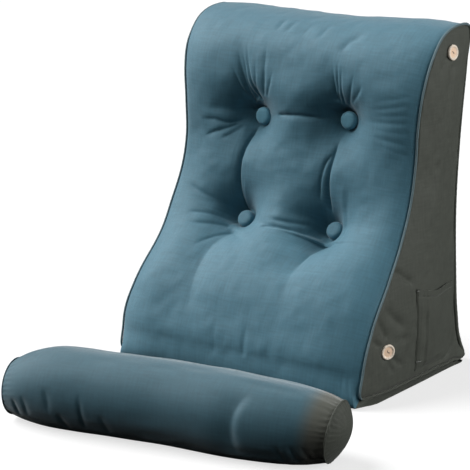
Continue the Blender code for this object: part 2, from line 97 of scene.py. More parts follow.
# The crown across: how late it falls and how steeply. The upper button row is pulled askew: the
# pull's reach, and its most along and across
CROWN_LATE = 3.6
CROWN_STEEP = 0.68
PULL_REACH = 0.09
PULL_ALONG = 0.019
PULL_ACROSS = 0.001

# The far side: height, move across, reach
FAR_SIDE_SHIFTS = (
    (350, 5.0, 90),
    (545, -5.5, 50),
    (205, 7.0, 40),
    (90, -4.0, 35),
)

# The lower rear corners: depth and height of their middle, radius, where they start back and aside
EAR_BACK = 0.316
EAR_UP = 0.024
EAR_RADIUS = 0.0250
EAR_FROM_BACK = 0.296
EAR_BACK_RAMP = 0.022
EAR_FROM_SIDE = 0.190
EAR_SIDE_RAMP = 0.03
EAR_DROP = 0.005
EAR_DROP_FROM = 0.050
EAR_DROP_RAMP = 0.030

# Underneath, in metres and shares: place across, swell aside, height as a share of the seam's,
# share of the crown
UNDER_ROWS = np.array(
    (
        (0.1780, 0.0000, 0.00, 1.00),
        (0.2000, 0.0070, 0.00, 0.98),
        (0.2190, 0.0185, 0.00, 0.95),
        (0.2330, 0.0225, 0.12, 0.85),
        (0.2415, -0.0015, 0.45, 0.20),
        (0.2450, 0.0000, 1.00, 0.00),
    )
)
UNDER_EDGE_LIFT = 0.003
UNDER_EDGE_SWELL = 0.4
UNDER_EDGE_RAMP = 0.03
UNDER_SWELL_RAMP = 0.09
UNDER_REAR_RAMP = 0.05
UNDER_BLEND = 0.03

# Spacing of the cover's points: where a span across ends and its step, the same for the lowest
# span of the front, and the steps of the rest of the front, the top, the back and the base
COVER_SPANS_ACROSS = ((0.045, 0.0028), (0.140, 0.0016), (0.225, 0.0026), (HALF_WIDTH, 0.0015))
COVER_FIRST_SPAN = (0.2, 0.0032)
COVER_STEPS = (0.0021, 0.003, 0.009, 0.012)

# Unevenness of each cloth: height, cell, seed
COVER_UNEVENNESS = ((0.0009, 0.045, 3), (0.0006, 0.016, 4))
SIDE_UNEVENNESS = {
    "right": ((0.0016, 0.05, 12), (0.0007, 0.015, 13)),
    "left": ((0.0016, 0.05, 10), (0.0007, 0.015, 13)),
}

# Puckers along the side seams of the cover: depth, length of one, reach
SEAM_PUCKER = 0.0007
SEAM_PUCKER_LENGTH = 0.0125
SEAM_PUCKER_REACH = 0.010

# Dimples and covered buttons
TUFT_X = 0.089
TUFT_LOW = 0.276
TUFT_HIGH = 0.451
TUFT_DEPTHS = ((TUFT_LOW, 0.060), (TUFT_HIGH, 0.058))
TUFT_FLOOR = 0.0155
TUFT_REACH = 0.031
TUFT_BUTTON_RADIUS = 0.016
TUFT_BUTTON_HEIGHT = 0.0120
TUFT_BUTTON_LIFT = 0.0055
TUFT_BUTTON_EDGE = 0.22
TUFT_BUTTON_FOOT = ((0.99, 0.12), (0.94, 0.03), (0.85, 0.0))
TUFT_GATHERS = 17
TUFT_GATHER_DEPTH = 0.0003
TUFT_GATHER_FROM = 0.75

# Covered buttons: node, place across, along, shift across, along
TUFT_BUTTONS = (
    ("tuft_button_lower_left", -TUFT_X, TUFT_LOW, 0.003, -0.005),
    ("tuft_button_lower_right", TUFT_X, TUFT_LOW, 0.007, 0.000),
    ("tuft_button_upper_left", -TUFT_X, TUFT_HIGH, 0.007, 0.000),
    ("tuft_button_upper_right", TUFT_X, TUFT_HIGH, 0.003, 0.000),
)

# Folds of the front: depth, half width, sharpness, how far it fades in and out as shares of its
# length, how much wider it is on its left, then its points across and along the seam
SOFT = 1.7
CUSP = 1.0
LEFT_VALLEY = ((-92, 440), (-100, 407), (-103, 381), (-104, 331), (-102, 300), (-94, 282))
VALLEYS = (
    (4.2, 22, 1.2, 0.12, 0.12, 0, *LEFT_VALLEY),
    (9.5, 3.4, CUSP, 0.18, 0.12, -0.3, *LEFT_VALLEY),
    (3.6, 22, 1.2, 0.12, 0.12, 0, (86, 440), (82, 412), (81, 385), (80, 337), (82, 310), (87, 284)),
    (8.5, 3.2, CUSP, 0.3, 0.25, -0.3, (83, 423), (82, 400), (81, 368), (81, 337), (83, 314), (85, 297)),
    (4.5, 3.0, CUSP, 0.3, 0.3, -0.2, (80, 400), (70, 376), (66, 335), (68, 311.5)),
    (4.4, 21, 1.2, 0.2, 0.2, 0, (-70, 452), (0, 459), (70, 453)),
    (5.2, 2.6, CUSP, 0.3, 0.1, 0, (-36, 458), (-17, 459), (18, 458), (64, 453)),
    (7.0, 24, 1.2, 0.2, 0.2, 0, (-70, 268), (0, 256), (70, 264)),
    (8.0, 18, 1.4, 0.15, 0.6, 0, (80, 283), (52, 288), (30, 286), (0, 281)),
    (1.8, 15, 1.4, 0.15, 0.6, 0, (78, 460), (53, 470), (30, 473), (0, 474)),
    (5.6, 2.8, CUSP, 0.12, 0.1, 0.3, (-30, 252.4), (0, 253.5), (40, 255.8), (77, 259.6)),
    (3.0, 4.0, SOFT, 0.4, 0.2, 0, (-20, 268), (20, 268), (60, 277)),
)
OUTWARD_FOLDS = (
    (4.8, 24, 1.3, 0.1, 0.6, 0, (-105, 458), (-150, 466), (-215, 463)),
    (3.4, 4.2, 1.2, 0.15, 0.3, 0.3, (-115, 444), (-141, 438), (-168, 442), (-199, 438)),
    (1.6, 6.0, SOFT, 0.2, 0.4, 0, (-112, 457), (-145, 461), (-210, 458)),
    (3.0, 4.2, 1.3, 0.2, 0.3, 0.3, (-120, 437), (-140, 429), (-167, 418), (-189, 405)),
    (1.8, 4.5, SOFT, 0.2, 0.4, 0, (-114, 434), (-133, 418), (-153, 402)),
    (10.0, 22, 1.3, 0.1, 0.6, 0, (-98, 280), (-135, 286), (-205, 281)),
    (2.8, 4.2, 1.3, 0.1, 0.4, 0.2, (-104, 261), (-131, 263), (-166, 259), (-191, 253)),
    (2.8, 4.5, 1.3, 0.1, 0.4, 0.3, (-96, 254), (-123, 247), (-153, 238), (-180, 235)),
    (2.2, 4.5, 1.4, 0.2, 0.4, 0.2, (-86, 245), (-107, 227), (-125, 208), (-143, 187)),
    (3.2, 6.0, 1.4, 0.4, 0.3, 0.2, (-125, 288), (-170, 297), (-208, 312)),
    (3.8, 30, 1.4, 0.15, 0.5, 0, (112, 453), (160, 455), (225, 455)),
    (6.8, 36, 1.4, 0.15, 0.5, 0, (112, 280), (160, 282), (225, 282)),
)
FANS = (
    (4.8, 20, 1.3, 0.1, 0.5, 0, (-92, 475), (-104, 497), (-110, 528), (-120, 562), (-134, 592)),
    (4.6, 3.0, 1.2, 0.05, 0.5, 0.2, (-96, 475), (-111, 491), (-121, 513), (-131, 532)),
    (4.6, 3.0, 1.2, 0.05, 0.7, 0.2, (-99, 481), (-108, 514), (-117, 538), (-125, 561)),
    (5.2, 3.0, 1.2, 0.05, 0.8, 0.2, (-88, 480), (-100, 505), (-108, 537), (-122, 577)),
    (5.2, 3.0, 1.2, 0.05, 0.8, 0.2, (-78, 480), (-90, 505), (-101, 540), (-113, 579)),
    (4.8, 3.0, 1.2, 0.05, 0.8, 0.2, (-74, 478), (-84, 491), (-82, 517), (-86, 564)),
    (3.6, 3.6, 1.3, 0.1, 0.8, 0.2, (-67, 486), (-63, 512), (-65, 545), (-69, 581)),
    (2.4, 3.6, 1.3, 0.1, 0.5, 0.2, (-59, 486), (-50, 506), (-46, 529)),
    (3.0, 18, 1.3, 0.1, 0.6, 0, (76, 481), (72, 507), (68, 536), (59, 566)),
    (4.6, 3.2, 1.2, 0.05, 0.7, 0.2, (77, 485), (77, 516), (71, 551)),
    (4.2, 3.0, 1.2, 0.05, 0.7, 0.2, (81, 480), (84, 520), (81, 553)),
    (4.0, 3.0, 1.2, 0.05, 0.7, 0.2, (89, 480), (91, 513), (91, 553)),
    (3.6, 3.2, 1.2, 0.1, 0.7, 0.2, (98, 478), (111, 504), (119, 539)),
    (2.2, 3.6, 1.4, 0.1, 0.5, 0.2, (109, 483), (126, 499), (139, 518)),
    (2.4, 8.0, SOFT, 0.3, 0.4, 0, (79, 560), (92, 585), (118, 604)),
)
# Slanting folds below the top edge and short puckers along the right seam
EDGE_FOLDS = (
    (1.8, 6.0, SOFT, 0.4, 0.4, 0, (-64, 588), (-60, 622)),
    (1.6, 6.0, SOFT, 0.4, 0.4, 0, (-45, 586), (-34, 622)),
    (1.6, 7.0, SOFT, 0.4, 0.4, 0, (-10, 582), (4, 620)),
    (1.4, 6.0, SOFT, 0.4, 0.4, 0, (26, 578), (38, 618)),
    (1.0, 4.2, SOFT, 0.5, 0.2, 0, (150, 488), (200, 500), (232, 511)),
    (1.3, 4.2, SOFT, 0.5, 0.2, 0, (140, 474), (190, 484), (234, 497)),
    (1.0, 4.2, SOFT, 0.5, 0.2, 0, (150, 467), (195, 472), (236, 481)),
    (1.3, 4.5, SOFT, 0.5, 0.2, 0, (138, 455), (190, 459), (238, 466)),
    (1.0, 4.2, SOFT, 0.5, 0.2, 0, (150, 446), (200, 446), (238, 449)),
    (1.3, 4.5, SOFT, 0.5, 0.2, 0, (142, 436), (190, 431), (240, 429)),
    (0.9, 4.2, SOFT, 0.5, 0.2, 0, (160, 424), (205, 416), (240, 411)),
)
BELOW_RIGHT_BUTTON = ((84, 251), (84, 236), (83, 205), (77, 177))
LOWER_FOLDS = (
    (13.0, 38, 1.3, 0.04, 0.5, 0, *BELOW_RIGHT_BUTTON, (81, 145), (90, 30)),
    (8.0, 18, 1.4, 0.2, 0.5, 0, (86, 262), (80, 240), (78, 215)),
    (3.0, 4.0, 1.2, 0.1, 0.6, -0.3, *BELOW_RIGHT_BUTTON),
    (12.0, 34, 1.3, 0.08, 0.55, 0, (-89, 250), (-104, 210), (-108, 160), (-102, 110), (-90, 40)),
    (1.4, 5.0, 1.4, 0.1, 0.6, 0, (30, 28), (28, 60), (26, 85)),
    (1.0, 7.0, 1.4, 0.1, 0.6, 0, (-30, 22), (-34, 60), (-38, 90)),
    (3.0, 3.0, 1.2, 0.2, 0.5, 0, (228, 10), (226, 35)),
    (3.0, 4.0, 1.2, 0.2, 0.5, 0, (219, 8), (215, 40)),
)
FRONT_FOLDS = VALLEYS + OUTWARD_FOLDS + FANS + EDGE_FOLDS + LOWER_FOLDS
# A fold is followed out to this many half widths
FOLD_REACH = 3.5

# Swells and hollows of the front and, in the last two rows, of the top: place across and along,
# height, reach across and along
ALL_ACROSS = 9000
SWELLS = (
    (0, 160, 9, ALL_ACROSS, 75),
    (0, 46, 4, ALL_ACROSS, 28),
    (-205, 560, 6, 50, 50),
    (-205, 120, 10, 50, 60),
    (-215, 400, -5, 40, 90),
    (0, 532, -6, 75, 32),
    (-112, 274, -17, 17, 15),
    (68, 273, -16, 16, 15),
    (-110, 458, -13, 16, 15),
    (69, 458, -13, 16, 15),
    (10, 690, -6, 120, 50),
    (215, 655, 5, 50, 50),
)

# Folds of the right side cloth, their points back and up; the last one runs round the pocket
SIDE_FOLDS = (
    (4.5, 6.0, 1.4, 0.3, 0.3, 0.3, (90, 214), (120, 196), (152, 172)),
    (3.9, 8.0, SOFT, 0.4, 0.4, 0, (60, 158), (94, 129), (134, 98)),
    (3.9, 6.0, SOFT, 0.4, 0.2, 0, (40, 150), (60, 120), (70, 98)),
    (3.6, 4.5, SOFT, 0.3, 0.2, 0, (30, 110), (45, 98), (58, 90)),
    (3.9, 6.0, SOFT, 0.2, 0.4, 0, (84, 70), (104, 54), (128, 40)),
    (3.3, 5.0, SOFT, 0.2, 0.4, 0, (74, 64), (86, 48), (96, 34)),
    (2.4, 7.0, SOFT, 0.3, 0.4, 0, (86, 88), (112, 92), (140, 86)),
    (3.3, 16, SOFT, 0.4, 0.4, 0, (200, 470), (214, 380), (205, 280)),
    (3.0, 16, SOFT, 0.4, 0.4, 0, (252, 420), (246, 320), (240, 200)),
    (3.0, 9.0, SOFT, 0.2, 0.5, 0, (262, 535), (254, 500), (240, 450)),
    (2.4, 7.0, SOFT, 0.2, 0.5, 0, (250, 546), (234, 530), (222, 505)),
    (2.8, 4.2, SOFT, 0.2, 0.3, 0, (200, 20), (240, 18), (266, 18), (283, 27), (291, 45), (291.5, 100)),
)
# Where the side cloth rises from its seam, as a share of its depth, and how much faster along its height
SIDE_RIM = 0.03
SIDE_RIM_FASTER = 2.2

# Piping: shares of its radius by which it stands proud, is tucked in along the far top, and is
# thinner in front, thicker behind and thickest at the lower rear corners
PIPING_RADIUS = 0.0024
PIPING_POINTS = 620
PIPING_PROUD = 0.65
PIPING_TUCK = 1.3
PIPING_FRONT = 0.80
PIPING_REAR_MORE = 0.18
PIPING_REAR_FROM = 1.6
PIPING_REAR_RAMP = 0.3
PIPING_CORNER_MORE = 0.75
# Windows of the turn in which it is tucked in and thickest, and the turn from which it takes the olive
# cloth, painted shade
PIPING_TUCKED = (0.86, 0.1, 2.1, 0.1)
PIPING_CORNER = (2.45, 0.40, 3.10, 0.07)
PIPING_PAINTED_SHADE_FROM = 1.95
CORD_BUMP_LENGTH = 0.011

# Wooden buttons: node, depth, height, how far they face forwards in degrees
WOOD_BUTTONS = (
    ("wood_button_top", 0.260, 0.549, 6.0),
    ("wood_button_front", 0.0745, 0.079, 19.0),
)
WOOD_BUTTON_RADIUS = 0.0131
WOOD_BUTTON_SEAT = 0.0034
WOOD_SEAT_REACH = 0.018
WOOD_BUTTON_HEIGHT = 0.0045
# Shares of their radius and height: the dish, the rim and the foot
WOOD_DISH = 0.62
WOOD_RIM = (
    (0.66, 0.66),
    (0.70, 0.78),
    (0.75, 0.92),
    (0.81, 1.0),
    (0.88, 1.0),
    (0.94, 0.94),
    (0.98, 0.82),
    (1.0, 0.66),
)
WOOD_FOOT = ((1.0, 0.30), (0.97, 0.14), (0.90, 0.04), (0.80, 0.0))
WOOD_HOLES = ((0.0018, 0.0016), (-0.0018, -0.0016))
WOOD_HOLE_DEPTH = 0.0016
WOOD_HOLE_RADIUS = 0.0007
WOOD_HOLE_EDGE = 0.0005
WOOD_THREAD_RADIUS = 0.00042
WOOD_THREAD_ARCH = 0.0012

# Side pocket, reaching the rear seam, with its hem, its edge pleat and its leaning front edge
POCKET_FRONT_EDGE = 0.161
POCKET_BACK_EDGE = 0.286
POCKET_WIDTH = POCKET_BACK_EDGE - POCKET_FRONT_EDGE
POCKET_BOTTOM = 0.023
POCKET_LEAN = 0.009
POCKET_MOUTH_FRONT = 0.168
POCKET_MOUTH_BACK = 0.152
POCKET_HEIGHT = POCKET_MOUTH_FRONT - POCKET_BOTTOM
POCKET_PLEAT = 0.023
POCKET_STAND_OFF = 0.0055
POCKET_EDGE_SHARE = 0.45
POCKET_EDGE_RAMP = 0.010
POCKET_REAR_RAMP = 0.085
POCKET_MOUTH_SHUT = 0.6
POCKET_CLOTH = 0.0018
POCKET_CORNER_CUT = 0.026
POCKET_CORNER_WIDTH = 0.26
POCKET_MOUTH_SLOPE = 0.50
POCKET_BOTTOM_RISE = 0.11
POCKET_HEM = 0.0115
POCKET_HEM_RISE = 0.0006
POCKET_HEM_GROOVE = 0.0007
POCKET_PLEAT_GROOVE = 0.0008
POCKET_LUMPS = 0.0012
POCKET_SLACK = 0.0006
# The hem's stitches: how many, radius, how far inside the hem's edge, share of its spacing that one fills
HEM_STITCHES = 37
HEM_STITCH_RADIUS = 0.00032
HEM_STITCH_INSET = 0.0012
HEM_STITCH_SHARE = 0.68
# Bar stitches at the front edge: level as a share of the height, from and to as shares of the width
BAR_STITCHES = ((0.985, -0.02, 0.03), (0.115, 0.0, 0.10))
BAR_STITCH_RADIUS = 0.0008

# Turned profile of the bolster from its middle to its end: along the axis, radius
BOLSTER_ROWS = (
    (0, 66.7),
    (100, 66.5),
    (150, 65.5),
    (200, 62.3),
    (225, 59.1),
    (250, 54.2),
    (273, 47.2),
)
BOLSTER_RADIUS = 0.0667
BOLSTER_END = BOLSTER_ROWS[-1][0] / 1000
BOLSTER_SAG = 0.0069
BOLSTER_DROOP = 0.0077
BOLSTER_TURN = math.radians(11.7)
BOLSTER_PLACE = Vector((0.0243, -0.2638, 0.0))
BOLSTER_BEND = 0.009
BOLSTER_BEND_AT = 0.14
BOLSTER_BEND_REACH = 0.10
BOLSTER_LEAN = 0.010
BOLSTER_LEAN_FROM = 0.17
BOLSTER_FAR_ROUNDING = 0.0045
BOLSTER_FAR_LIFT = 0.005
BOLSTER_RAMP = 0.10
BOLSTER_SPANS = ((-0.20, 0.0020), (0.19, 0.0028), (BOLSTER_END, 0.0020))
BOLSTER_PUCKERS = 34
BOLSTER_PUCKER_DEPTH = 0.0006
BOLSTER_LUMPS = 0.0009
# Its ends: height of the dome, radius of the seam's ridge
BOLSTER_DOMES = {"right": 0.0200, "left": 0.0060}
BOLSTER_RIDGES = {"right": 0.0012, "left": 0.0006}
END_PUCKERS = 31
END_PUCKER_DEPTH = 0.0008

# Folds round the bolster, their points along it and round it in degrees, upwards from the front
BOLSTER_FOLDS = (
    (5.0, 17, SOFT, 0.35, 0.3, -0.5, (158, 62), (137, 30), (132, -5), (140, -44)),
    (2.6, 4.5, 1.4, 0.4, 0.3, 0.2, (-252, 0), (-246, -20), (-242, -42)),
    (2.0, 4.8, 1.4, 0.4, 0.4, 0.2, (-232, 6), (-226, -16), (-224, -38)),
    (2.0, 5.0, 1.4, 0.4, 0.4, 0.2, (-190, 18), (-183, 0), (-181, -22)),
    (2.2, 4.5, 1.4, 0.4, 0.2, 0.2, (-168, -16), (-160, -30), (-156, -50)),
    (2.4, 3.4, 1.4, 0.4, 0.3, 0.2, (-128, 18), (-124, -10), (-122, -44)),
    (1.4, 5.0, 1.4, 0.4, 0.2, 0.2, (-92, -8), (-86, -24), (-82, -48)),
    (2.0, 4.5, 1.4, 0.4, 0.2, 0.2, (200, -10), (206, -28), (212, -50)),
    (2.4, 4.5, 1.4, 0.4, 0.2, 0.2, (222, -8), (229, -28), (236, -50)),
    (2.6, 4.2, 1.4, 0.4, 0.2, 0.2, (240, -8), (248, -28), (258, -48)),
    (2.2, 3.6, 1.4, 0.4, 0.2, 0.2, (258, -14), (264, -32), (270, -50)),
)

CAMERA_TURN = math.radians(35.74)
CAMERA_RISE = math.radians(14.34)
CAMERA_DISTANCE = 3.311
CAMERA_ROLL = math.radians(-0.06)
CAMERA_TARGET = WEDGE_PLACE + Vector((-0.001, -0.005, 0.243))
CAMERA_FOCUS_PIXELS = 2000.0
CAMERA_CENTRE_ROW = 242.6
IMAGE_PIXELS = 470
SENSOR = 36.0

# Studio lights: name, kind, place beside, before and above the target as the camera sees it,
# strength, and spread in radians or size
WHITE = (1.0, 1.0, 1.0)
LIGHTS = (
    ("key", "SUN", (-2.2, -0.80, 2.05), 5.3, math.radians(56.0)),
    ("side_fill", "AREA", (2.7, 0.85, 0.75), 57.0, 1.8),
    ("front_fill", "AREA", (-0.3, 2.2, 1.9), 10.0, 2.0),
)
FLOOR_REACH = 16.0
FLOOR_LEVEL = -0.0004
FLOOR_GLOW = 0.69
WORLD_GLOW = 0.01
BACKDROP_GLOW = 0.95

# Columns of a piece's points that serve as its cloth lengths, seen from the side or from above
FROM_SIDE = slice(1, 3)
FROM_ABOVE = slice(0, 2)


def metres(rows):
    """Rows that are given in millimetres."""
    return np.array(rows) / 1000


def xyz(x, y, z):
    """Points from their three parts."""
    return np.stack([x, y, z], -1)


class Outline:
    """The closed side outline. Its turn counts the faces: 0 front, 1 top, 2 back, 3 base, 4 front."""

    def __init__(self, faces):
        rows = np.concatenate([metres(face)[:-1] for face in faces])
        steps = np.roll(rows, -1, axis=0) - rows
        runs = np.concatenate([[0.0], np.cumsum(np.hypot(steps[:, Y], steps[:, Z]))])
        corners = np.cumsum([0, *(len(face) - 1 for face in faces)])
        self.starts = runs[corners].tolist()
        self.stations = np.concatenate([runs[:-1] + shift * runs[-1] for shift in (-1, 0, 1)])
        self.values = np.tile(rows, (3, 1))
        self.slopes = np.gradient(self.values, self.stations, axis=0)

    def run(self, turn):
        """Length of the outline from the lower front corner to a turn."""
        starts = np.array(self.starts)
        face = np.clip(np.asarray(turn, float).astype(int), 0, 3)
        return starts[face] + (turn - face) * (starts[face + 1] - starts[face])

    def at(self, column, run):
        """A column's value at a length of the outline."""
        return hermite(run, self.stations, self.values[:, column], self.slopes[:, column])

    def value(self, column, turn):
        """A column's value at a turn."""
        return self.at(column, self.run(turn))

    def normal(self, turn, reach=0.006):
        """Outward, square to the outline, as its parts back and up."""
        run = self.run(turn)
        back = self.at(Y, run + reach) - self.at(Y, run - reach)
        up = self.at(Z, run + reach) - self.at(Z, run - reach)
        length = np.hypot(back, up)
        return -up / length, back / length

    def between(self, column, up, back):
        """What lies inside the outline, blended from its four edges."""
        edges = self.value(column, up) * (1 - back) + self.value(column, 3.0 - up) * back
        edges += self.value(column, 4.0 - back) * (1 - up) + self.value(column, 1.0 + back) * up
        low = self.value(column, 0.0) * (1 - back) + self.value(column, 3.0) * back
        high = self.value(column, 1.0) * (1 - back) + self.value(column, 2.0) * back
        return edges - low * (1 - up) - high * up


def hermite(at, stations, values, slopes):
    """A cubic through values at their stations."""
    low = np.clip(np.searchsorted(stations, at, side="right") - 1, 0, len(stations) - 2)
    step = stations[low + 1] - stations[low]
    t = (at - stations[low]) / step
    start = (1 + 2 * t) * values[low] + t * step * slopes[low]
    end = (3 - 2 * t) * values[low + 1] - (1 - t) * step * slopes[low + 1]
    return (1 - t) ** 2 * start + t * t * end


OUTLINE = Outline((FRONT_ROWS, TOP_ROWS, BACK_ROWS, BASE_ROWS))
FRONT_LENGTH = OUTLINE.starts[1]


def smooth(share):
    """A soft step from 0 to 1."""
    share = np.clip(share, 0.0, 1.0)
    return share * share * (3 - 2 * share)


def window(turn, start, rise, end, fall):
    """1 between two turns, rising after the first and falling before the second."""
    return smooth((turn - start) / rise) * smooth((end - turn) / fall)


def bell(away, reach):
    """From 1 in the middle towards 0 beyond a reach."""
    return np.exp(-((away / reach) ** 2))


def lumps(u, v, cell, seed):
    """Smooth unevenness between -1 and 1 over a lattice of seeded values."""
    values = np.random.default_rng(seed).uniform(-1.0, 1.0, (64, 64))
    u = u / cell + 20.0
    v = v / cell + 20.0
    column = np.floor(u).astype(int)
    row = np.floor(v).astype(int)
    across = smooth(u - column)
    up = smooth(v - row)

    def corner(i, j):
        return values[(column + i) % 64, (row + j) % 64]

    low = corner(0, 0) * (1 - across) + corner(1, 0) * across
    high = corner(0, 1) * (1 - across) + corner(1, 1) * across
    return low * (1 - up) + high * up


def unevenness(u, v, rows):
    """Several lumps together, from rows of height, cell and seed."""
    return sum(height * lumps(u, v, cell, seed) for height, cell, seed in rows)


def curve_through(points, count=24):
    """Points on a smooth curve through given ones."""
    numbers = np.arange(len(points))
    along = np.linspace(0, numbers[-1], count)
    return np.stack([hermite(along, numbers, column, np.gradient(column)) for column in points.T], -1)


def fold_relief(u, v, folds, units=(0.001, 0.001)):
    """Depth of folds at places u, v on a cloth, with the units of their points."""
    total = np.zeros(u.shape)
    for depth, half_width, sharpness, fade_in, fade_out, lean, *points in folds:
        route = curve_through(np.array(points) * units)
        depth, half_width = metres((depth, half_width))
        reach = FOLD_REACH * half_width * (1 + abs(lean))
        near = (u > route[:, 0].min() - reach) & (u < route[:, 0].max() + reach)
        near &= (v > route[:, 1].min() - reach) & (v < route[:, 1].max() + reach)
        here = np.stack([u[near], v[near]], -1)
        best = np.full(len(here), np.inf)
        along = np.zeros(len(here))
        side = np.zeros(len(here))
        for index, (start, end) in enumerate(zip(route[:-1], route[1:])):
            step = end - start
            offset = here - start
            t = np.clip(offset @ step / (step @ step), 0.0, 1.0)
            away = np.hypot(*(offset - t[:, None] * step).T)
            closer = away < best
            best[closer] = away[closer]
            along[closer] = (index + t[closer]) / (len(route) - 1)
            side[closer] = np.sign(step[0] * offset[closer, 1] - step[1] * offset[closer, 0])
        faded = smooth(along / fade_in) * smooth((1 - along) / fade_out)
        width = half_width * (1 + lean * side)
        total[near] += depth * faded * np.exp(-((best / width) ** sharpness))
    return total


def tuft_relief(x, s):
    """Depth of the dimples, blended so that neighbours do not add up."""
    total = 0.0
    for tuft_x in (-TUFT_X, TUFT_X):
        for tuft_s, depth in TUFT_DEPTHS:
            away = np.maximum(np.hypot(x - tuft_x, s - tuft_s) - TUFT_FLOOR, 0.0)
            total = total + (depth * np.exp(-away / TUFT_REACH)) ** 3
    return total ** (1.0 / 3.0)


def seam_x(x, turn):
    """Places across, drawn in towards the middle close to the seams."""
    across = x / HALF_WIDTH
    return x - np.copysign(OUTLINE.value(DRAWN, turn) * np.abs(across) ** 8, across)


def skin_points(x, turn, relief):
    """Points of the padded cover, sunk by a relief that fades out at the seams."""
    share = x / HALF_WIDTH
    across = np.clip(np.abs(share), 0.0, 1.0)
    crown = OUTLINE.value(CROWN, turn) * (1.0 - across ** CROWN_LATE) ** CROWN_STEEP
    height = crown - relief * (1.0 - across ** 6)
    pull = bell(OUTLINE.run(turn) - TUFT_HIGH, PULL_REACH) * (1.0 - across ** 2)
    turn = turn + PULL_ALONG * share * pull / FRONT_LENGTH
    x = x + PULL_ACROSS * pull
    back, up = OUTLINE.normal(turn)
    y = OUTLINE.value(Y, turn) + back * height
    z = OUTLINE.value(Z, turn) + up * height
    return xyz(seam_x(x, turn), y, z)


def settled(points):
    """Moves the far side as its filling has settled, and rounds the lower rear corners."""
    x, y, z = (points[..., k] for k in range(3))
    far = np.clip(-x / HALF_WIDTH, 0.0, 1.2) ** 2
    shift = sum(move * bell(z - level, reach) for level, move, reach in metres(FAR_SIDE_SHIFTS))
    moved = points.copy()
    moved[..., 0] += far * shift
    back = np.maximum(y - EAR_BACK, 0.0)
    down = np.maximum(EAR_UP - z, 0.0)
    held = (1.0 + (np.hypot(back, down) / EAR_RADIUS) ** 8) ** -0.125
    rear = smooth((y - EAR_FROM_BACK) / EAR_BACK_RAMP)
    corner = rear * smooth((np.abs(x) - EAR_FROM_SIDE) / EAR_SIDE_RAMP)
    moved[..., 1] -= corner * back * (1.0 - held)
    moved[..., 2] += corner * down * (1.0 - held)
    moved[..., 2] -= EAR_DROP * corner * smooth((EAR_DROP_FROM - z) / EAR_DROP_RAMP)
    moved[..., 2] = np.maximum(moved[..., 2], 0.0)
    return moved


def placed(points):
    """Points of the wedge's own frame in the model's."""
    return points + np.array(WEDGE_PLACE)


def under_points(x, turn):
    """Points of the underside, flat on the floor up to the swell below the piping."""
    aside, height, crown = (np.interp(np.abs(x), UNDER_ROWS[:, 0], UNDER_ROWS[:, k]) for k in (1, 2, 3))
    back, _ = OUTLINE.normal(turn)
    fore = back * OUTLINE.value(CROWN, turn) * crown
    from_edge = np.minimum(turn - 3.0, 4.0 - turn)
    edge = 1.0 - smooth(from_edge / UNDER_EDGE_RAMP)
    level = np.maximum(OUTLINE.value(Z, turn) * height, UNDER_EDGE_LIFT * edge)
    ramp = np.minimum(from_edge / np.where(turn < 3.5, UNDER_REAR_RAMP, UNDER_SWELL_RAMP), 1.0)
    swell = np.copysign(1.0, x) * aside * (UNDER_EDGE_SWELL + (1.0 - UNDER_EDGE_SWELL) * ramp)
    return xyz(seam_x(x, turn) + swell, OUTLINE.value(Y, turn) + fore, level)


def side_points(up, back, sign, proud=0.0):
    """Points of a side face between the outline's four edges."""
    bulge = SIDE_CROWN * (1 - (2 * back - 1) ** 2) ** 1.5 * (1 - (2 * up - 1) ** 4)
    out = HALF_WIDTH - OUTLINE.between(DRAWN, up, back) + bulge + proud
    y = OUTLINE.between(Y, up, back)
    z = OUTLINE.between(Z, up, back)
    return xyz(sign * out, y, z)


def side_places(y, z):
    """The shares up and back of the side face that lie at depths and heights."""
    up = np.full(np.shape(y), 0.5)
    back = np.full(np.shape(y), 0.5)
    for _ in range(25):
        here = side_points(up, back, 1)
        rise = (side_points(up + 0.01, back, 1) - here) / 0.01
        run = (side_points(up, back + 0.01, 1) - here) / 0.01
        miss_y = y - here[..., 1]
        miss_z = z - here[..., 2]
        area = rise[..., 1] * run[..., 2] - run[..., 1] * rise[..., 2]
        up = np.clip(up + (miss_y * run[..., 2] - miss_z * run[..., 1]) / area, 0.02, 0.98)
        back = np.clip(back + (miss_z * rise[..., 1] - miss_y * rise[..., 2]) / area, 0.02, 0.98)
    return up, back


def stations(start, *spans):
    """Places from a start on, through spans that each have an end and a spacing."""
    places = [start]
    for end, spacing in spans:
        count = max(1, round((end - places[-1]) / spacing))
        places.extend(np.linspace(places[-1], end, count + 1)[1:])
    return np.array(places)


def grid_piece(name, points, cloth, material, around=False, flip=False):
    """A mesh over a grid of points. Around joins its last row to its first.

    Its UVs are the lengths of its cloth, across and along, or a slice of its points' columns.
    """
    rows, columns = points.shape[:2]
    index = np.arange(rows * columns).reshape(rows, columns)
    if around:
        index = np.vstack([index, index[:1]])
    row, column = np.meshgrid(np.arange(index.shape[0] - 1), np.arange(columns - 1), indexing="ij")
    corners = [(row, column), (row, column + 1), (row + 1, column + 1), (row + 1, column)]
    if flip:
        corners.reverse()
    quads = np.stack([index[corner] for corner in corners], -1).reshape(-1, 4)
    mesh = bpy.data.meshes.new(name)
    mesh.from_pydata(points.reshape(-1, 3).tolist(), [], quads.tolist())
    if isinstance(cloth, slice):
        lengths = points.reshape(-1, 3)[quads, cloth]
    else:
        across, along = cloth
        lengths = np.stack([np.stack([across[c], along[r]], -1) for r, c in corners], -2)
    mesh.uv_layers.new(name="cloth").data.foreach_set("uv", lengths.reshape(-1))
    mesh.shade_smooth()
    return linked(name, mesh, material)


def linked(name, data, material=None):
    """A new object of the scene."""
    obj = bpy.data.objects.new(name, data)
    bpy.context.scene.collection.objects.link(obj)
    if material is not None:
        data.materials.append(material)
    return obj


def settle(obj, slot, *nodes):
    """The piece rides on the only body and stands for its nodes; its slot is not used."""
    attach(obj, "root")
    if nodes:
        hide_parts(*nodes)
    return obj


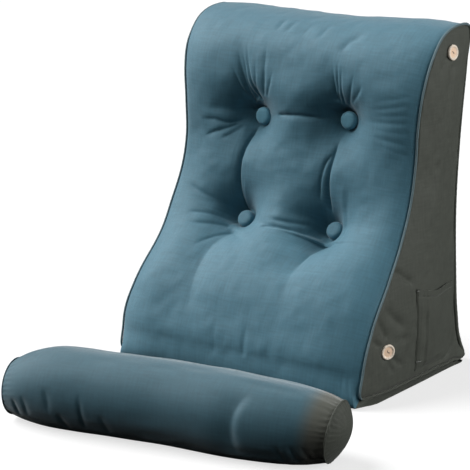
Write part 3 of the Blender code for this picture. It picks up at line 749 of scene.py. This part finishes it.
def clothe_partly(obj, material, rows, columns):
    """A second material on the faces of the rows that are marked."""
    obj.data.materials.append(material)
    obj.data.polygons.foreach_set("material_index", np.repeat(rows.astype(int), columns))


class Shading:
    """Makes and feeds the nodes of a material or a world."""

    def __init__(self, owner):
        owner.use_nodes = True
        self.nodes = owner.node_tree.nodes
        self.link = owner.node_tree.links.new

    def feed(self, node, inputs):
        """Gives inputs, by name or number, a value or another node's output."""
        for key, value in inputs.items():
            socket = node.inputs[key]
            if isinstance(value, bpy.types.NodeSocket):
                self.link(value, socket)
            elif socket.type == "RGBA":
                socket.default_value = (*value, 1.0)
            else:
                socket.default_value = value

    def add(self, kind, inputs, output=0, **settings):
        """One output of a new node."""
        node = self.nodes.new("ShaderNode" + kind)
        for key, value in settings.items():
            setattr(node, key, value)
        self.feed(node, inputs)
        return node.outputs[output]

    def maths(self, operation, *values):
        return self.add("Math", dict(enumerate(values)), operation=operation)

    def mixed(self, factor, first, second, blend_type="MIX"):
        """A blend of two colours."""
        node = self.nodes.new("ShaderNodeMix")
        node.data_type = "RGBA"
        node.blend_type = blend_type
        one, other = (place for place, socket in enumerate(node.inputs) if socket.type == "RGBA")
        self.feed(node, {"Factor": factor, one: first, other: second})
        return next(socket for socket in node.outputs if socket.type == "RGBA")

    def ramp(self, factor, *stops):
        """Colours between two stops, each a position and a colour."""
        node = self.nodes.new("ShaderNodeValToRGB")
        for element, (position, colour) in zip(node.color_ramp.elements, stops):
            element.position = position
            element.color = (*colour, 1.0)
        self.feed(node, {"Fac": factor})
        return node.outputs["Color"]

    def bump(self, height, strength, distance):
        return self.add("Bump", {"Height": height, "Strength": strength, "Distance": distance})


def worn_cloth(name, colour, sheen, gloss, contrast, thread=0.0009, slub=0.0035, painted_shade=None):
    """Plain-woven cloth: threads in relief, melange colour and a soft bloom at grazing angles."""
    material = bpy.data.materials.new(name)
    shading = Shading(material)
    place = shading.add("UVMap", {}, "UV", uv_map="cloth")

    def noise(scale, detail, squeeze=(1.0, 1.0, 1.0)):
        stretched = shading.add("Mapping", {"Vector": place, "Scale": squeeze}, "Vector")
        return shading.add("TexNoise", {"Vector": stretched, "Scale": scale, "Detail": detail}, "Fac")

    def waves(direction):
        inputs = {
            "Vector": place,
            "Scale": math.pi / (10.0 * thread),
            "Distortion": 0.6,
            "Detail": 1.0,
            "Detail Scale": 1.5,
        }
        return shading.add("TexWave", inputs, "Fac", bands_direction=direction)

    weft = noise(1.0 / slub, 3.0, (0.12, 1.0, 1.0))
    warp = noise(1.0 / slub, 3.0, (1.0, 0.12, 1.0))
    slubs = shading.maths("MULTIPLY", shading.maths("ADD", weft, warp), 0.5)
    dark = tuple((1.0 - 0.30 * contrast) * part for part in colour)
    light = tuple((1.0 + 0.30 * contrast) * part for part in colour)
    bleached = tuple((1.0 + 0.15 * contrast) * part + 0.008 for part in colour)
    patches = shading.maths("MULTIPLY", noise(9.0, 2.0), 0.45)
    shaded = shading.mixed(patches, shading.mixed(slubs, dark, light), bleached)
    # Painted shade: the colour is blended to a darker one between two places along the piece
    if painted_shade is not None:
        shade_colour, start, end = painted_shade
        along = shading.add("SeparateXYZ", {"Vector": place}, "X")
        reach = {"Value": along, "From Min": start, "From Max": end}
        share = shading.add("MapRange", reach, "Result", interpolation_type="SMOOTHSTEP")
        shaded = shading.mixed(share, shaded, shade_colour)
    across = waves("X")
    along = waves("Y")
    both = shading.maths("MULTIPLY", across, along)
    either = shading.maths("SUBTRACT", shading.maths("ADD", across, along), both)
    height = shading.maths("ADD", shading.maths("MULTIPLY", either, 0.7), slubs)
    surface = {
        "Base Color": shaded,
        "Roughness": 0.62,
        "Specular IOR Level": gloss,
        "Sheen Weight": sheen,
        "Sheen Roughness": 0.45,
        "Normal": shading.bump(height, 0.55, 0.35 * thread),
    }
    shading.feed(shading.nodes["Principled BSDF"], surface)
    return material


def turned_wood(name):
    """Pale wood with fine rings, darker at its pores, in a piece's own coordinates."""
    material = bpy.data.materials.new(name)
    shading = Shading(material)
    place = shading.add("TexCoord", {}, "Object")
    stretch = {"Vector": place, "Scale": (1.0, 0.22, 1.0), "Location": (0.011, 0.004, 0.0)}
    stretched = shading.add("Mapping", stretch, "Vector")
    ringed = {"Vector": stretched, "Scale": 130.0, "Distortion": 3.0, "Detail": 2.0}
    rings = shading.add("TexWave", ringed, "Fac", wave_type="RINGS", rings_direction="Z")
    pores = shading.add("TexNoise", {"Vector": stretched, "Scale": 900.0, "Detail": 3.0}, "Fac")
    grain = shading.maths("MULTIPLY_ADD", rings, 0.45, pores)
    streaks = shading.ramp(grain, (0.0, (0.84, 0.82, 0.80)), (1.0, WHITE))
    from_middle = shading.add("VectorMath", {0: place}, "Value", operation="LENGTH")
    share = shading.maths("DIVIDE", from_middle, WOOD_BUTTON_RADIUS)
    tone = shading.ramp(share, (0.62, (0.98, 0.72, 0.52)), (0.80, (1.00, 0.88, 0.74)))
    surface = {
        "Base Color": shading.mixed(1.0, tone, streaks, "MULTIPLY"),
        "Roughness": 0.5,
        "Specular IOR Level": 0.4,
        "Normal": shading.bump(grain, 0.3, 0.0002),
    }
    shading.feed(shading.nodes["Principled BSDF"], surface)
    return material


def make_cover(material, olive_shade_material):
    """The tufted front with the plain top, back and base, as one cover of the filled wedge."""
    half = stations(0.0, *COVER_SPANS_ACROSS)
    x = np.concatenate([-half[:0:-1], half])
    ends = OUTLINE.starts[1:]
    runs = stations(0.0, COVER_FIRST_SPAN, *zip(ends, COVER_STEPS))[:-1]
    turn = np.interp(runs, OUTLINE.starts, range(5))
    across, turns = np.meshgrid(x, turn)
    _, s = np.meshgrid(x, runs)
    relief = tuft_relief(across, s) + fold_relief(across, s, FRONT_FOLDS)
    relief = np.where(turns < 2.0, relief, 0.0)
    for place, run, swell, reach_across, reach_along in metres(SWELLS):
        relief -= swell * bell(across - place, reach_across) * bell(s - run, reach_along)
    relief += unevenness(across, s, COVER_UNEVENNESS)
    to_seam = HALF_WIDTH - np.abs(across)
    puckers = np.sin(s * 2 * math.pi / SEAM_PUCKER_LENGTH + 3 * lumps(across, s, 0.05, 5))
    relief += SEAM_PUCKER * puckers * np.exp(-to_seam / SEAM_PUCKER_REACH)
    points = skin_points(across, turns, relief)
    under = turns >= 3.0
    points[under] = under_points(across[under], turns[under])
    # Close to its lower edges, front and back, the skin runs on from the underside
    for edge_run, sign, under_turn, skin_turn in ((0.0, 1, 4.0, 0.0), (ends[2], -1, 3.0, 3.0 - 1e-9)):
        away = (s - edge_run) * sign
        near = (away >= 0.0) & (away < UNDER_BLEND)
        place = across[near]
        shift = under_points(place, np.full(place.shape, under_turn))
        shift -= skin_points(place, np.full(place.shape, skin_turn), 0.0 * place)
        points[near] += shift * (1.0 - smooth(away[near] / UNDER_BLEND))[:, None]
    points[..., 2] = np.maximum(points[..., 2], 0.0)
    lengths = (x, np.append(runs, ends[-1]))
    cover = grid_piece("cushion_cover", placed(settled(points)), lengths, material, around=True)
    # The base takes the olive cloth: painted shade of the blue cloth underneath
    clothe_partly(cover, olive_shade_material, turn >= 3.0, len(x) - 1)
    settle(cover, "front_cloth", "wedge")
    return cover


def make_side_cloth(where, material):
    """The plain cloth sewn into a side of the wedge."""
    sign = SIDES[where]
    backs, ups = np.meshgrid(np.linspace(0.0, 1.0, 101), np.linspace(0.0, 1.0, 221))
    inset = np.minimum(SIDE_RIM_FASTER * np.minimum(ups, 1 - ups), np.minimum(backs, 1 - backs))
    rim = smooth(inset / SIDE_RIM)
    points = side_points(ups, backs, sign)
    y, z = points[..., 1], points[..., 2]
    relief = unevenness(y, z, SIDE_UNEVENNESS[where])
    if sign > 0:
        relief += fold_relief(y, z, SIDE_FOLDS)
        for _, button_y, button_z, forwards in WOOD_BUTTONS:
            away = np.hypot(y - button_y, z - button_z)
            seat = np.exp(-((away / (1.25 * WOOD_BUTTON_RADIUS)) ** 4))
            tilt = math.tan(math.radians(forwards)) * (y - button_y)
            relief += WOOD_BUTTON_SEAT * bell(away, WOOD_SEAT_REACH) - tilt * seat
    points[..., 0] += sign * rim * (SEWN_GAP + PANEL_CLOTH - relief)
    points = placed(settled(points))
    cloth = grid_piece("side_cloth_" + where, points, FROM_SIDE, material, flip=sign < 0)
    settle(cloth, "side_cloth", "side_panel_" + where)
    return cloth


def tube(name, centres, radius, material, sides=16, closed=True, bumps=0.0, shares=1.0):
    """A round cord along a row of points, its radius scaled by shares."""
    centres = np.array(centres)
    if closed:
        ahead = np.roll(centres, -1, axis=0) - np.roll(centres, 1, axis=0)
    else:
        ahead = np.gradient(centres, axis=0)
    ahead /= np.linalg.norm(ahead, axis=1)[:, None]
    beside = np.cross(ahead, (1.0, 0.0, 0.0))
    beside /= np.linalg.norm(beside, axis=1)[:, None]
    above = np.cross(beside, ahead)
    steps = np.linalg.norm(np.diff(centres, axis=0, append=centres[:1]), axis=1)
    run = np.concatenate([[0.0], np.cumsum(steps)])
    angle = np.linspace(0.0, 2 * math.pi, sides + 1)
    swell = radius * shares * (1.0 + bumps * np.sin(run[:-1] * 2 * math.pi / CORD_BUMP_LENGTH))
    ring = np.cos(angle)[None, :, None] * beside[:, None] + np.sin(angle)[None, :, None] * above[:, None]
    points = centres[:, None] + ring * swell[:, None, None]
    lengths = (radius * angle, run if closed else run[:-1])
    return grid_piece(name, points, lengths, material, around=closed)


def make_piping(where, material, olive_shade_material):
    """The covered cord sewn into the seam all round a side cloth."""
    sign = SIDES[where]
    run = np.arange(PIPING_POINTS) * OUTLINE.starts[-1] / PIPING_POINTS
    turn = np.interp(run, OUTLINE.starts, range(5))
    back, up = OUTLINE.normal(turn)
    proud = np.full(PIPING_POINTS, PIPING_PROUD * PIPING_RADIUS)
    if sign < 0:
        proud -= PIPING_TUCK * PIPING_RADIUS * window(turn, *PIPING_TUCKED)
    aside = PANEL_CLOTH / 2 + SEWN_GAP
    x = sign * (np.abs(seam_x(np.full(PIPING_POINTS, HALF_WIDTH), turn)) + aside)
    y = OUTLINE.value(Y, turn) + back * proud
    z = np.maximum(OUTLINE.value(Z, turn) + up * proud, PIPING_RADIUS + 0.001)
    centres = settled(xyz(x, y, z))
    shares = PIPING_FRONT + PIPING_REAR_MORE * smooth((turn - PIPING_REAR_FROM) / PIPING_REAR_RAMP)
    shares += PIPING_CORNER_MORE * window(turn, *PIPING_CORNER)
    centres[:, 2] = np.maximum(centres[:, 2], PIPING_RADIUS * np.maximum(shares, 1.0) + 0.0005)
    name = "piping_cord_" + where
    piping = tube(name, placed(centres), PIPING_RADIUS, material, bumps=0.03, shares=shares)
    faces_round = len(piping.data.polygons) // PIPING_POINTS
    # From the rear of the top on, the cord takes the olive cloth: painted shade on its back and base
    clothe_partly(piping, olive_shade_material, turn >= PIPING_PAINTED_SHADE_FROM, faces_round)
    return settle(piping, "front_cloth", "piping_" + where)


def turned_piece(name, shares, size, sides, material, shape):
    """A closed piece turned about Z from shares of its radius and height, its skin then shaped."""
    angle = np.linspace(0.0, 2 * math.pi, sides + 1)
    profile = np.array(shares) * size
    x = profile[:, :1] * np.cos(angle)
    y = profile[:, :1] * np.sin(angle)
    points = xyz(x, y, shape(x, y, profile[:, 1:] + 0.0 * angle))
    return grid_piece(name, points, FROM_ABOVE, material, flip=True)


def stand_on(obj, place, normal):
    """Puts a piece's base at a place, with its Z along a normal."""
    obj.matrix_world = Matrix.Translation(place) @ normal.to_track_quat("Z", "X").to_matrix().to_4x4()


def make_tuft_button(node, x, s, shift_x, shift_s, material):
    """A cloth-covered button on the floor of its dimple."""
    rings = np.linspace(0.0, 1.0, 22)
    rise = np.sqrt(np.clip(1 - rings ** 4.5, 0.0, 1.0))
    shares = [*zip(rings, TUFT_BUTTON_EDGE + (1 - TUFT_BUTTON_EDGE) * rise), *TUFT_BUTTON_FOOT]

    def gathered(px, py, height):
        out = np.hypot(px, py) / TUFT_BUTTON_RADIUS
        rim = smooth((out - TUFT_GATHER_FROM) / (1 - TUFT_GATHER_FROM))
        return height - TUFT_GATHER_DEPTH * rim * np.sin(TUFT_GATHERS * np.arctan2(py, px)) ** 2

    size = (TUFT_BUTTON_RADIUS, TUFT_BUTTON_HEIGHT)
    button = turned_piece(node + "_cloth", shares, size, 64, material, gathered)

    def floor(px, ps):
        px, ps = np.array([px]), np.array([ps])
        return Vector(skin_points(px, ps / FRONT_LENGTH, tuft_relief(px, ps))[0])

    rise = floor(x, s + 0.006) - floor(x, s - 0.006)
    run = floor(x + 0.005, s) - floor(x - 0.005, s)
    normal = run.cross(rise).normalized()
    aside = run.normalized() * shift_x + rise.normalized() * shift_s
    stand_on(button, WEDGE_PLACE + floor(x, s) + normal * TUFT_BUTTON_LIFT + aside, normal)
    return settle(button, "front_cloth", node)


def make_wood_button(node, y, z, forwards, wood, thread):
    """A dished wooden button with two holes, sewn on with thread."""
    dish = [(share, WOOD_DISH) for share in np.linspace(0.0, WOOD_DISH, 26)]

    def drilled(px, py, height):
        for hole_x, hole_y in WOOD_HOLES:
            away = np.hypot(px - hole_x, py - hole_y)
            height = height - WOOD_HOLE_DEPTH * (1 - smooth((away - WOOD_HOLE_RADIUS) / WOOD_HOLE_EDGE))
        return height

    size = (WOOD_BUTTON_RADIUS, WOOD_BUTTON_HEIGHT)
    button = turned_piece(node + "_turned", (*dish, *WOOD_RIM, *WOOD_FOOT), size, 96, wood, drilled)
    up, back = side_places(np.array([y]), np.array([z]))
    on_panel = SEWN_GAP + PANEL_CLOTH - 0.8 * WOOD_BUTTON_SEAT
    here = Vector(side_points(up, back, 1, on_panel)[0])
    rise = Vector((side_points(up + 0.02, back, 1) - side_points(up - 0.02, back, 1))[0])
    run = Vector((side_points(up, back + 0.04, 1) - side_points(up, back - 0.04, 1))[0])
    turn = Matrix.Rotation(-math.radians(forwards), 3, "Z")
    normal = turn @ run.cross(rise).normalized()
    stand_on(button, WEDGE_PLACE + here + normal * SEWN_GAP, normal)
    settle(button, "wood", node)
    along = np.linspace(-1.0, 1.0, 15)
    arch = WOOD_BUTTON_HEIGHT * 0.5 + WOOD_THREAD_ARCH * (1 - along ** 4)
    hole_x, hole_y = WOOD_HOLES[0]
    centres = xyz(hole_x * along, hole_y * along, arch)
    stitch = tube(node + "_thread", centres, WOOD_THREAD_RADIUS, thread, sides=8, closed=False)
    stitch.matrix_world = button.matrix_world
    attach(stitch, "root")
    return button


def pocket_shape(along, up):
    """The pocket's skin: depth, height and how far it stands off the side cloth."""
    cut = POCKET_CORNER_CUT * np.maximum(0.0, 1.0 - (1.0 - along) / POCKET_CORNER_WIDTH) ** 2
    bottom = POCKET_BOTTOM + cut * (1 - up) ** 6
    dip = (POCKET_MOUTH_FRONT - POCKET_MOUTH_BACK) * np.minimum(along / POCKET_MOUTH_SLOPE, 1.0)
    run = along * POCKET_WIDTH
    y = POCKET_FRONT_EDGE + run - POCKET_LEAN * up * (1 - along)
    z = bottom + (POCKET_MOUTH_FRONT - dip - bottom) * up
    pleat = smooth((run - POCKET_PLEAT + 0.004) / POCKET_EDGE_RAMP)
    front = POCKET_EDGE_SHARE * smooth(run / POCKET_EDGE_RAMP) + (1 - POCKET_EDGE_SHARE) * pleat
    rear = smooth((1.0 - along) * POCKET_WIDTH / POCKET_REAR_RAMP)
    shut = 1.0 - POCKET_MOUTH_SHUT * smooth((up - 0.7) / 0.3)
    return y, z, POCKET_STAND_OFF * front * rear * shut * smooth(up / POCKET_BOTTOM_RISE)


def pocket_seat(y, z):
    """How far aside the side cloth carries the pocket at depths and heights."""
    return side_points(*side_places(y, z), 1, SEWN_GAP + PANEL_CLOTH)[..., 0] + 2 * SEWN_GAP


def mouth_slack(along, up):
    """How far the pocket's cloth hangs out towards its mouth."""
    return POCKET_SLACK * np.sin(math.pi * along) ** 2 * smooth((up - 0.55) / 0.45)


def stitch_points(share, level, lift):
    """A row of points over the pocket's cloth, lifted off it."""
    inside = np.clip(share, 0, 1)
    y, z, off = pocket_shape(inside, np.full(share.shape, level))
    y = y + POCKET_WIDTH * (share - inside)
    return placed(xyz(pocket_seat(y, z) + off + POCKET_CLOTH + lift, y, z))


def make_pocket(material, thread):
    """The side pocket: sewn down at both edges and its bottom, hemmed and open at its mouth."""
    along = stations(0.0, (0.16, 0.008), (0.84, 0.014), (1.0, 0.008))
    up = stations(0.0, (0.14, 0.008), (0.86, 0.014), (1.0, 0.006))
    alongs, ups = np.meshgrid(along, up)
    y, z, off = pocket_shape(alongs, ups)
    from_mouth = (1.0 - ups) * POCKET_HEIGHT
    inset = np.minimum(alongs, 1.0 - alongs) * POCKET_WIDTH
    hem = POCKET_HEM_RISE * smooth((POCKET_HEM - from_mouth) / 0.0012)
    relief = POCKET_PLEAT_GROOVE * bell(alongs * POCKET_WIDTH - POCKET_PLEAT, 0.0022) * smooth(ups / 0.15)
    relief += POCKET_LUMPS * lumps(y, z, 0.035, 21) * smooth(inset / 0.02) * smooth(ups / 0.3)
    relief += POCKET_HEM_GROOVE * bell(from_mouth - POCKET_HEM, 0.0014) * smooth(inset / 0.008)
    edge = smooth(np.minimum(inset, ups * POCKET_HEIGHT) / 0.0025)
    inner = pocket_seat(y, z) + off + mouth_slack(alongs, ups)
    cloth = POCKET_CLOTH * (0.12 + 0.88 * edge)
    outer = inner - SEWN_GAP * (1.0 - edge) + cloth + hem * edge - relief
    skin = xyz(outer, y, z)
    lining = xyz(inner, y, z)[::-1]
    lip = 0.5 * (skin[-1:] + lining[:1]) + np.array((0.0, 0.0, POCKET_CLOTH / 2))
    shell = placed(np.concatenate([skin, lip, lining]))
    outward = up * POCKET_HEIGHT
    inward = POCKET_HEIGHT + 0.002 + (1 - up[::-1]) * POCKET_HEIGHT
    lengths = (along * POCKET_WIDTH, np.concatenate([outward, [POCKET_HEIGHT + 0.001], inward]))
    pocket = grid_piece("pocket_cloth", shell, lengths, material)
    settle(pocket, "side_cloth", "pocket")
    run = np.linspace(0.03, 0.97, HEM_STITCHES + 1)
    level = 1.0 - (POCKET_HEM - HEM_STITCH_INSET) / POCKET_HEIGHT
    arch = 0.0003 * np.sin(np.linspace(0, math.pi, 6)) + 0.0002
    stitches = []
    for start, end in zip(run[:-1], run[1:]):
        share = np.linspace(start, start + HEM_STITCH_SHARE * (end - start), 6)
        centres = stitch_points(share, level, mouth_slack(share, level) + arch)
        stitches.append(tube("stitch", centres, HEM_STITCH_RADIUS, thread, sides=6, closed=False))
    for level, start, end in BAR_STITCHES:
        centres = stitch_points(np.linspace(start, end, 8), level, 0.0006)
        stitches.append(tube("stitch", centres, BAR_STITCH_RADIUS, thread, sides=8, closed=False))
    seam = joined("pocket_stitching", stitches)
    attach(seam, "root")
    return pocket


def joined(name, pieces):
    """One object of several."""
    for other in bpy.context.selected_objects:
        other.select_set(False)
    for piece in pieces:
        piece.select_set(True)
    bpy.context.view_layer.objects.active = pieces[0]
    bpy.ops.object.join()
    whole = bpy.context.view_layer.objects.active
    whole.name = name
    return whole


def bolster_section(along):
    """Radius and height of the axis at places along the bolster."""
    table = metres(BOLSTER_ROWS)
    slopes = np.gradient(table[:, 1], table[:, 0])
    radius = hermite(np.abs(along), table[:, 0], table[:, 1], slopes)
    share = np.minimum(np.abs(along) / BOLSTER_END, 1.0)
    lift = BOLSTER_FAR_LIFT / 2 * smooth((-along - BOLSTER_RAMP) / BOLSTER_RAMP)
    rounding = BOLSTER_FAR_ROUNDING * np.maximum((-along / BOLSTER_END - 0.72) / 0.28, 0.0) ** 2
    axis = BOLSTER_RADIUS - BOLSTER_SAG - BOLSTER_DROOP * share ** 2 + lift - rounding
    return radius - rounding + lift, axis


def bolster_world(points):
    """Bends the bolster forwards, leans its near end outwards at the top and puts it in place."""
    along, across, level = (points[..., k] for k in range(3))
    forward = BOLSTER_BEND * bell(along - BOLSTER_BEND_AT, BOLSTER_BEND_REACH)
    near_end = smooth((along - BOLSTER_LEAN_FROM) / BOLSTER_RAMP)
    lean = BOLSTER_LEAN * near_end * (level / BOLSTER_RADIUS - 0.75)
    turn = np.array(Matrix.Rotation(BOLSTER_TURN, 3, "Z"))
    return xyz(along + lean, across - forward, level) @ turn.T + np.array(BOLSTER_PLACE)


def make_bolster(material):
    """The filled bolster with its main fold, the puckers of its lower front and those at its seams."""
    along = stations(-BOLSTER_END, *BOLSTER_SPANS)
    degrees = np.linspace(-180.0, 180.0, 181)
    alongs, angles = np.meshgrid(along, np.radians(degrees[:-1]))
    radius, axis = bolster_section(alongs)
    units = (0.001, math.radians(1.0) * BOLSTER_RADIUS)
    relief = fold_relief(alongs, angles * BOLSTER_RADIUS, BOLSTER_FOLDS, units)
    relief += BOLSTER_LUMPS * lumps(alongs, np.sin(angles) * 0.1 + 0.3 * np.cos(angles), 0.05, 31)
    to_seam = BOLSTER_END - np.abs(alongs)
    pucker = np.sin(angles * BOLSTER_PUCKERS + 2 * lumps(alongs, np.degrees(angles) / 400.0, 0.05, 33))
    relief += BOLSTER_PUCKER_DEPTH * pucker * np.exp(-to_seam / 0.010) * smooth(to_seam / 0.003)
    radius = radius - relief
    level = np.maximum(axis + radius * np.sin(angles), 0.0)
    points = bolster_world(xyz(alongs, -radius * np.cos(angles), level))
    lengths = (along, np.radians(degrees) * BOLSTER_RADIUS)
    cover = grid_piece("bolster_cover", points, lengths, material, around=True)
    settle(cover, "front_cloth", "bolster")
    return cover


def make_bolster_end(where, material, seam_material, seam_slot):
    """The round cloth sewn into one end of the bolster, and the ridge of its seam."""
    sign = SIDES[where]
    name = "bolster_end_cloth_" + where
    radius, axis = (float(value) for value in bolster_section(np.array(sign * BOLSTER_END)))
    shares = np.linspace(0.0, 1.0, 40)[:, None]
    angle = np.linspace(0.0, 2 * math.pi, 121)
    dome = BOLSTER_DOMES[where] * (1 - shares ** 2) + 0.0 * angle
    out = radius * shares
    y = -out * np.cos(angle)
    z = np.maximum(axis + out * np.sin(angle), 0.0)
    relief = END_PUCKER_DEPTH * np.sin(END_PUCKERS * angle) * np.exp(-(radius - out) / 0.008)
    relief += BOLSTER_LUMPS * lumps(y, z, 0.03, 41 + sign)
    outward = BOLSTER_END + SEWN_GAP + PANEL_CLOTH + dome - relief * smooth((1 - shares) / 0.06)
    points = bolster_world(xyz(sign * outward, y, z))
    end = grid_piece(name, points, FROM_SIDE, material, flip=sign < 0)
    settle(end, "side_cloth", "bolster_end_" + where)
    ring = np.linspace(0.0, 2 * math.pi, 161)[:-1]
    cord = BOLSTER_RIDGES[where]
    proud = radius + 0.7 * cord
    x = np.full(ring.shape, sign * (BOLSTER_END + SEWN_GAP + PANEL_CLOTH / 2))
    level = np.maximum(axis + proud * np.sin(ring), cord + 0.0001)
    ridge = bolster_world(xyz(x, -proud * np.cos(ring), level))
    seam = tube(name + "_seam", ridge, cord, seam_material, sides=10, bumps=0.12)
    settle(seam, seam_slot)
    return end


def make_floor():
    """A plain pale floor that shows only the shadows."""
    pale = bpy.data.materials.new("pale_floor")
    shading = Shading(pale)
    surface = {
        "Base Color": (0.32, 0.32, 0.32),
        "Emission Color": WHITE,
        "Emission Strength": FLOOR_GLOW,
        "Roughness": 0.9,
        "Specular IOR Level": 0.1,
    }
    shading.feed(shading.nodes["Principled BSDF"], surface)
    x, y = np.meshgrid((-FLOOR_REACH, FLOOR_REACH), (-FLOOR_REACH, FLOOR_REACH))
    points = xyz(x, y, np.full(x.shape, FLOOR_LEVEL))
    floor = grid_piece("studio_floor", points, FROM_ABOVE, pale)
    floor.visible_diffuse = False
    floor.visible_glossy = False


def make_studio():
    """The floor, a white key light from the upper left, two weak fills and a dim white world."""
    make_floor()
    side = Vector((math.cos(CAMERA_TURN), math.sin(CAMERA_TURN), 0.0))
    front = Vector((math.sin(CAMERA_TURN), -math.cos(CAMERA_TURN), 0.0))
    for name, kind, (beside, before, above), strength, spread in LIGHTS:
        light = bpy.data.lights.new(name, kind)
        light.energy = strength
        if kind == "SUN":
            light.angle = spread
        else:
            light.shape = "DISK"
            light.size = spread
        lamp = linked(name, light)
        towards = beside * side + before * front + Vector((0.0, 0.0, above))
        lamp.location = CAMERA_TARGET + towards
        lamp.rotation_euler = towards.to_track_quat("Z", "Y").to_euler()
    world = bpy.data.worlds.new("studio")
    shading = Shading(world)
    seen = shading.add("LightPath", {}, "Is Camera Ray")
    glow = shading.add("MapRange", {"Value": seen, "To Min": WORLD_GLOW, "To Max": BACKDROP_GLOW}, "Result")
    shading.feed(shading.nodes["Background"], {"Color": WHITE, "Strength": glow})
    bpy.context.scene.world = world
    bpy.context.scene.view_settings.view_transform = "Standard"


def make_camera():
    """The photo's camera: its lens from a focus in pixels, its shift from the picture's centre row."""
    camera = bpy.data.cameras.new("view")
    camera.sensor_width = SENSOR
    camera.lens = CAMERA_FOCUS_PIXELS * SENSOR / IMAGE_PIXELS
    camera.shift_y = (CAMERA_CENTRE_ROW - IMAGE_PIXELS / 2) / IMAGE_PIXELS
    camera.clip_end = 60.0
    viewer = linked("view", camera)
    turn = Matrix.Rotation(CAMERA_TURN, 4, "Z") @ Matrix.Rotation(math.pi / 2 - CAMERA_RISE, 4, "X")
    place = CAMERA_TARGET + turn.to_3x3() @ Vector((0.0, 0.0, CAMERA_DISTANCE))
    viewer.matrix_world = Matrix.Translation(place) @ turn @ Matrix.Rotation(CAMERA_ROLL, 4, "Z")
    bpy.context.scene.camera = viewer


def main():
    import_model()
    make_camera()
    make_studio()
    front = worn_cloth("slate_blue_cloth", (0.051, 0.153, 0.209), 0.26, 0.35, 1.6)
    # Towards its near end the bolster's colour is blended to olive, between two places along it: painted
    # shade where the blue cloth turns away from the light
    painted_shade = ((0.084, 0.090, 0.074), 0.224, 0.254)
    # The bolster's cloth is a darker copy of the front's slate blue: painted shade on the bolster
    bolster = worn_cloth("bolster_cloth_painted_shade", (0.033, 0.100, 0.134), 0.42, 0.30, 1.8, painted_shade=painted_shade)
    # The olive-grey cloth stands for the blue cloth in shade: painted shade on the sides, the base, the
    # cord's back, the pocket and the bolster's ends
    side = worn_cloth("olive_painted_shade_cloth", (0.062, 0.069, 0.0565), 0.14, 0.25, 2.4)
    # The upper buttons' cloth is a lighter copy of the front's slate blue: painted light on buttons that
    # lie in the shade of their dimples
    button = worn_cloth("button_cloth_painted_light", (0.114, 0.303, 0.398), 0.26, 0.35, 1.2)
    cord = worn_cloth("dark_blue_piping", (0.100, 0.160, 0.180), 0.20, 0.40, 1.0, 0.0007, 0.0018)
    thread = worn_cloth("grey_thread", (0.20, 0.21, 0.20), 0.1, 0.20, 1.0, 0.0004, 0.001)
    wood = turned_wood("pale_wood")
    make_cover(front, side)
    for where in SIDES:
        make_side_cloth(where, side)
    for where in SIDES:
        make_piping(where, cord, side)
    # The upper buttons take the lighter cloth, painted light; the lower ones take the front's
    for node, x, s, shift_x, shift_s in TUFT_BUTTONS:
        make_tuft_button(node, x, s, shift_x, shift_s, button if s == TUFT_HIGH else front)
    for node, y, z, forwards in WOOD_BUTTONS:
        make_wood_button(node, y, z, forwards, wood, thread)
    make_pocket(side, thread)
    make_bolster(bolster)
    make_bolster_end("right", side, side, "side_cloth")
    make_bolster_end("left", side, bolster, "front_cloth")


main()
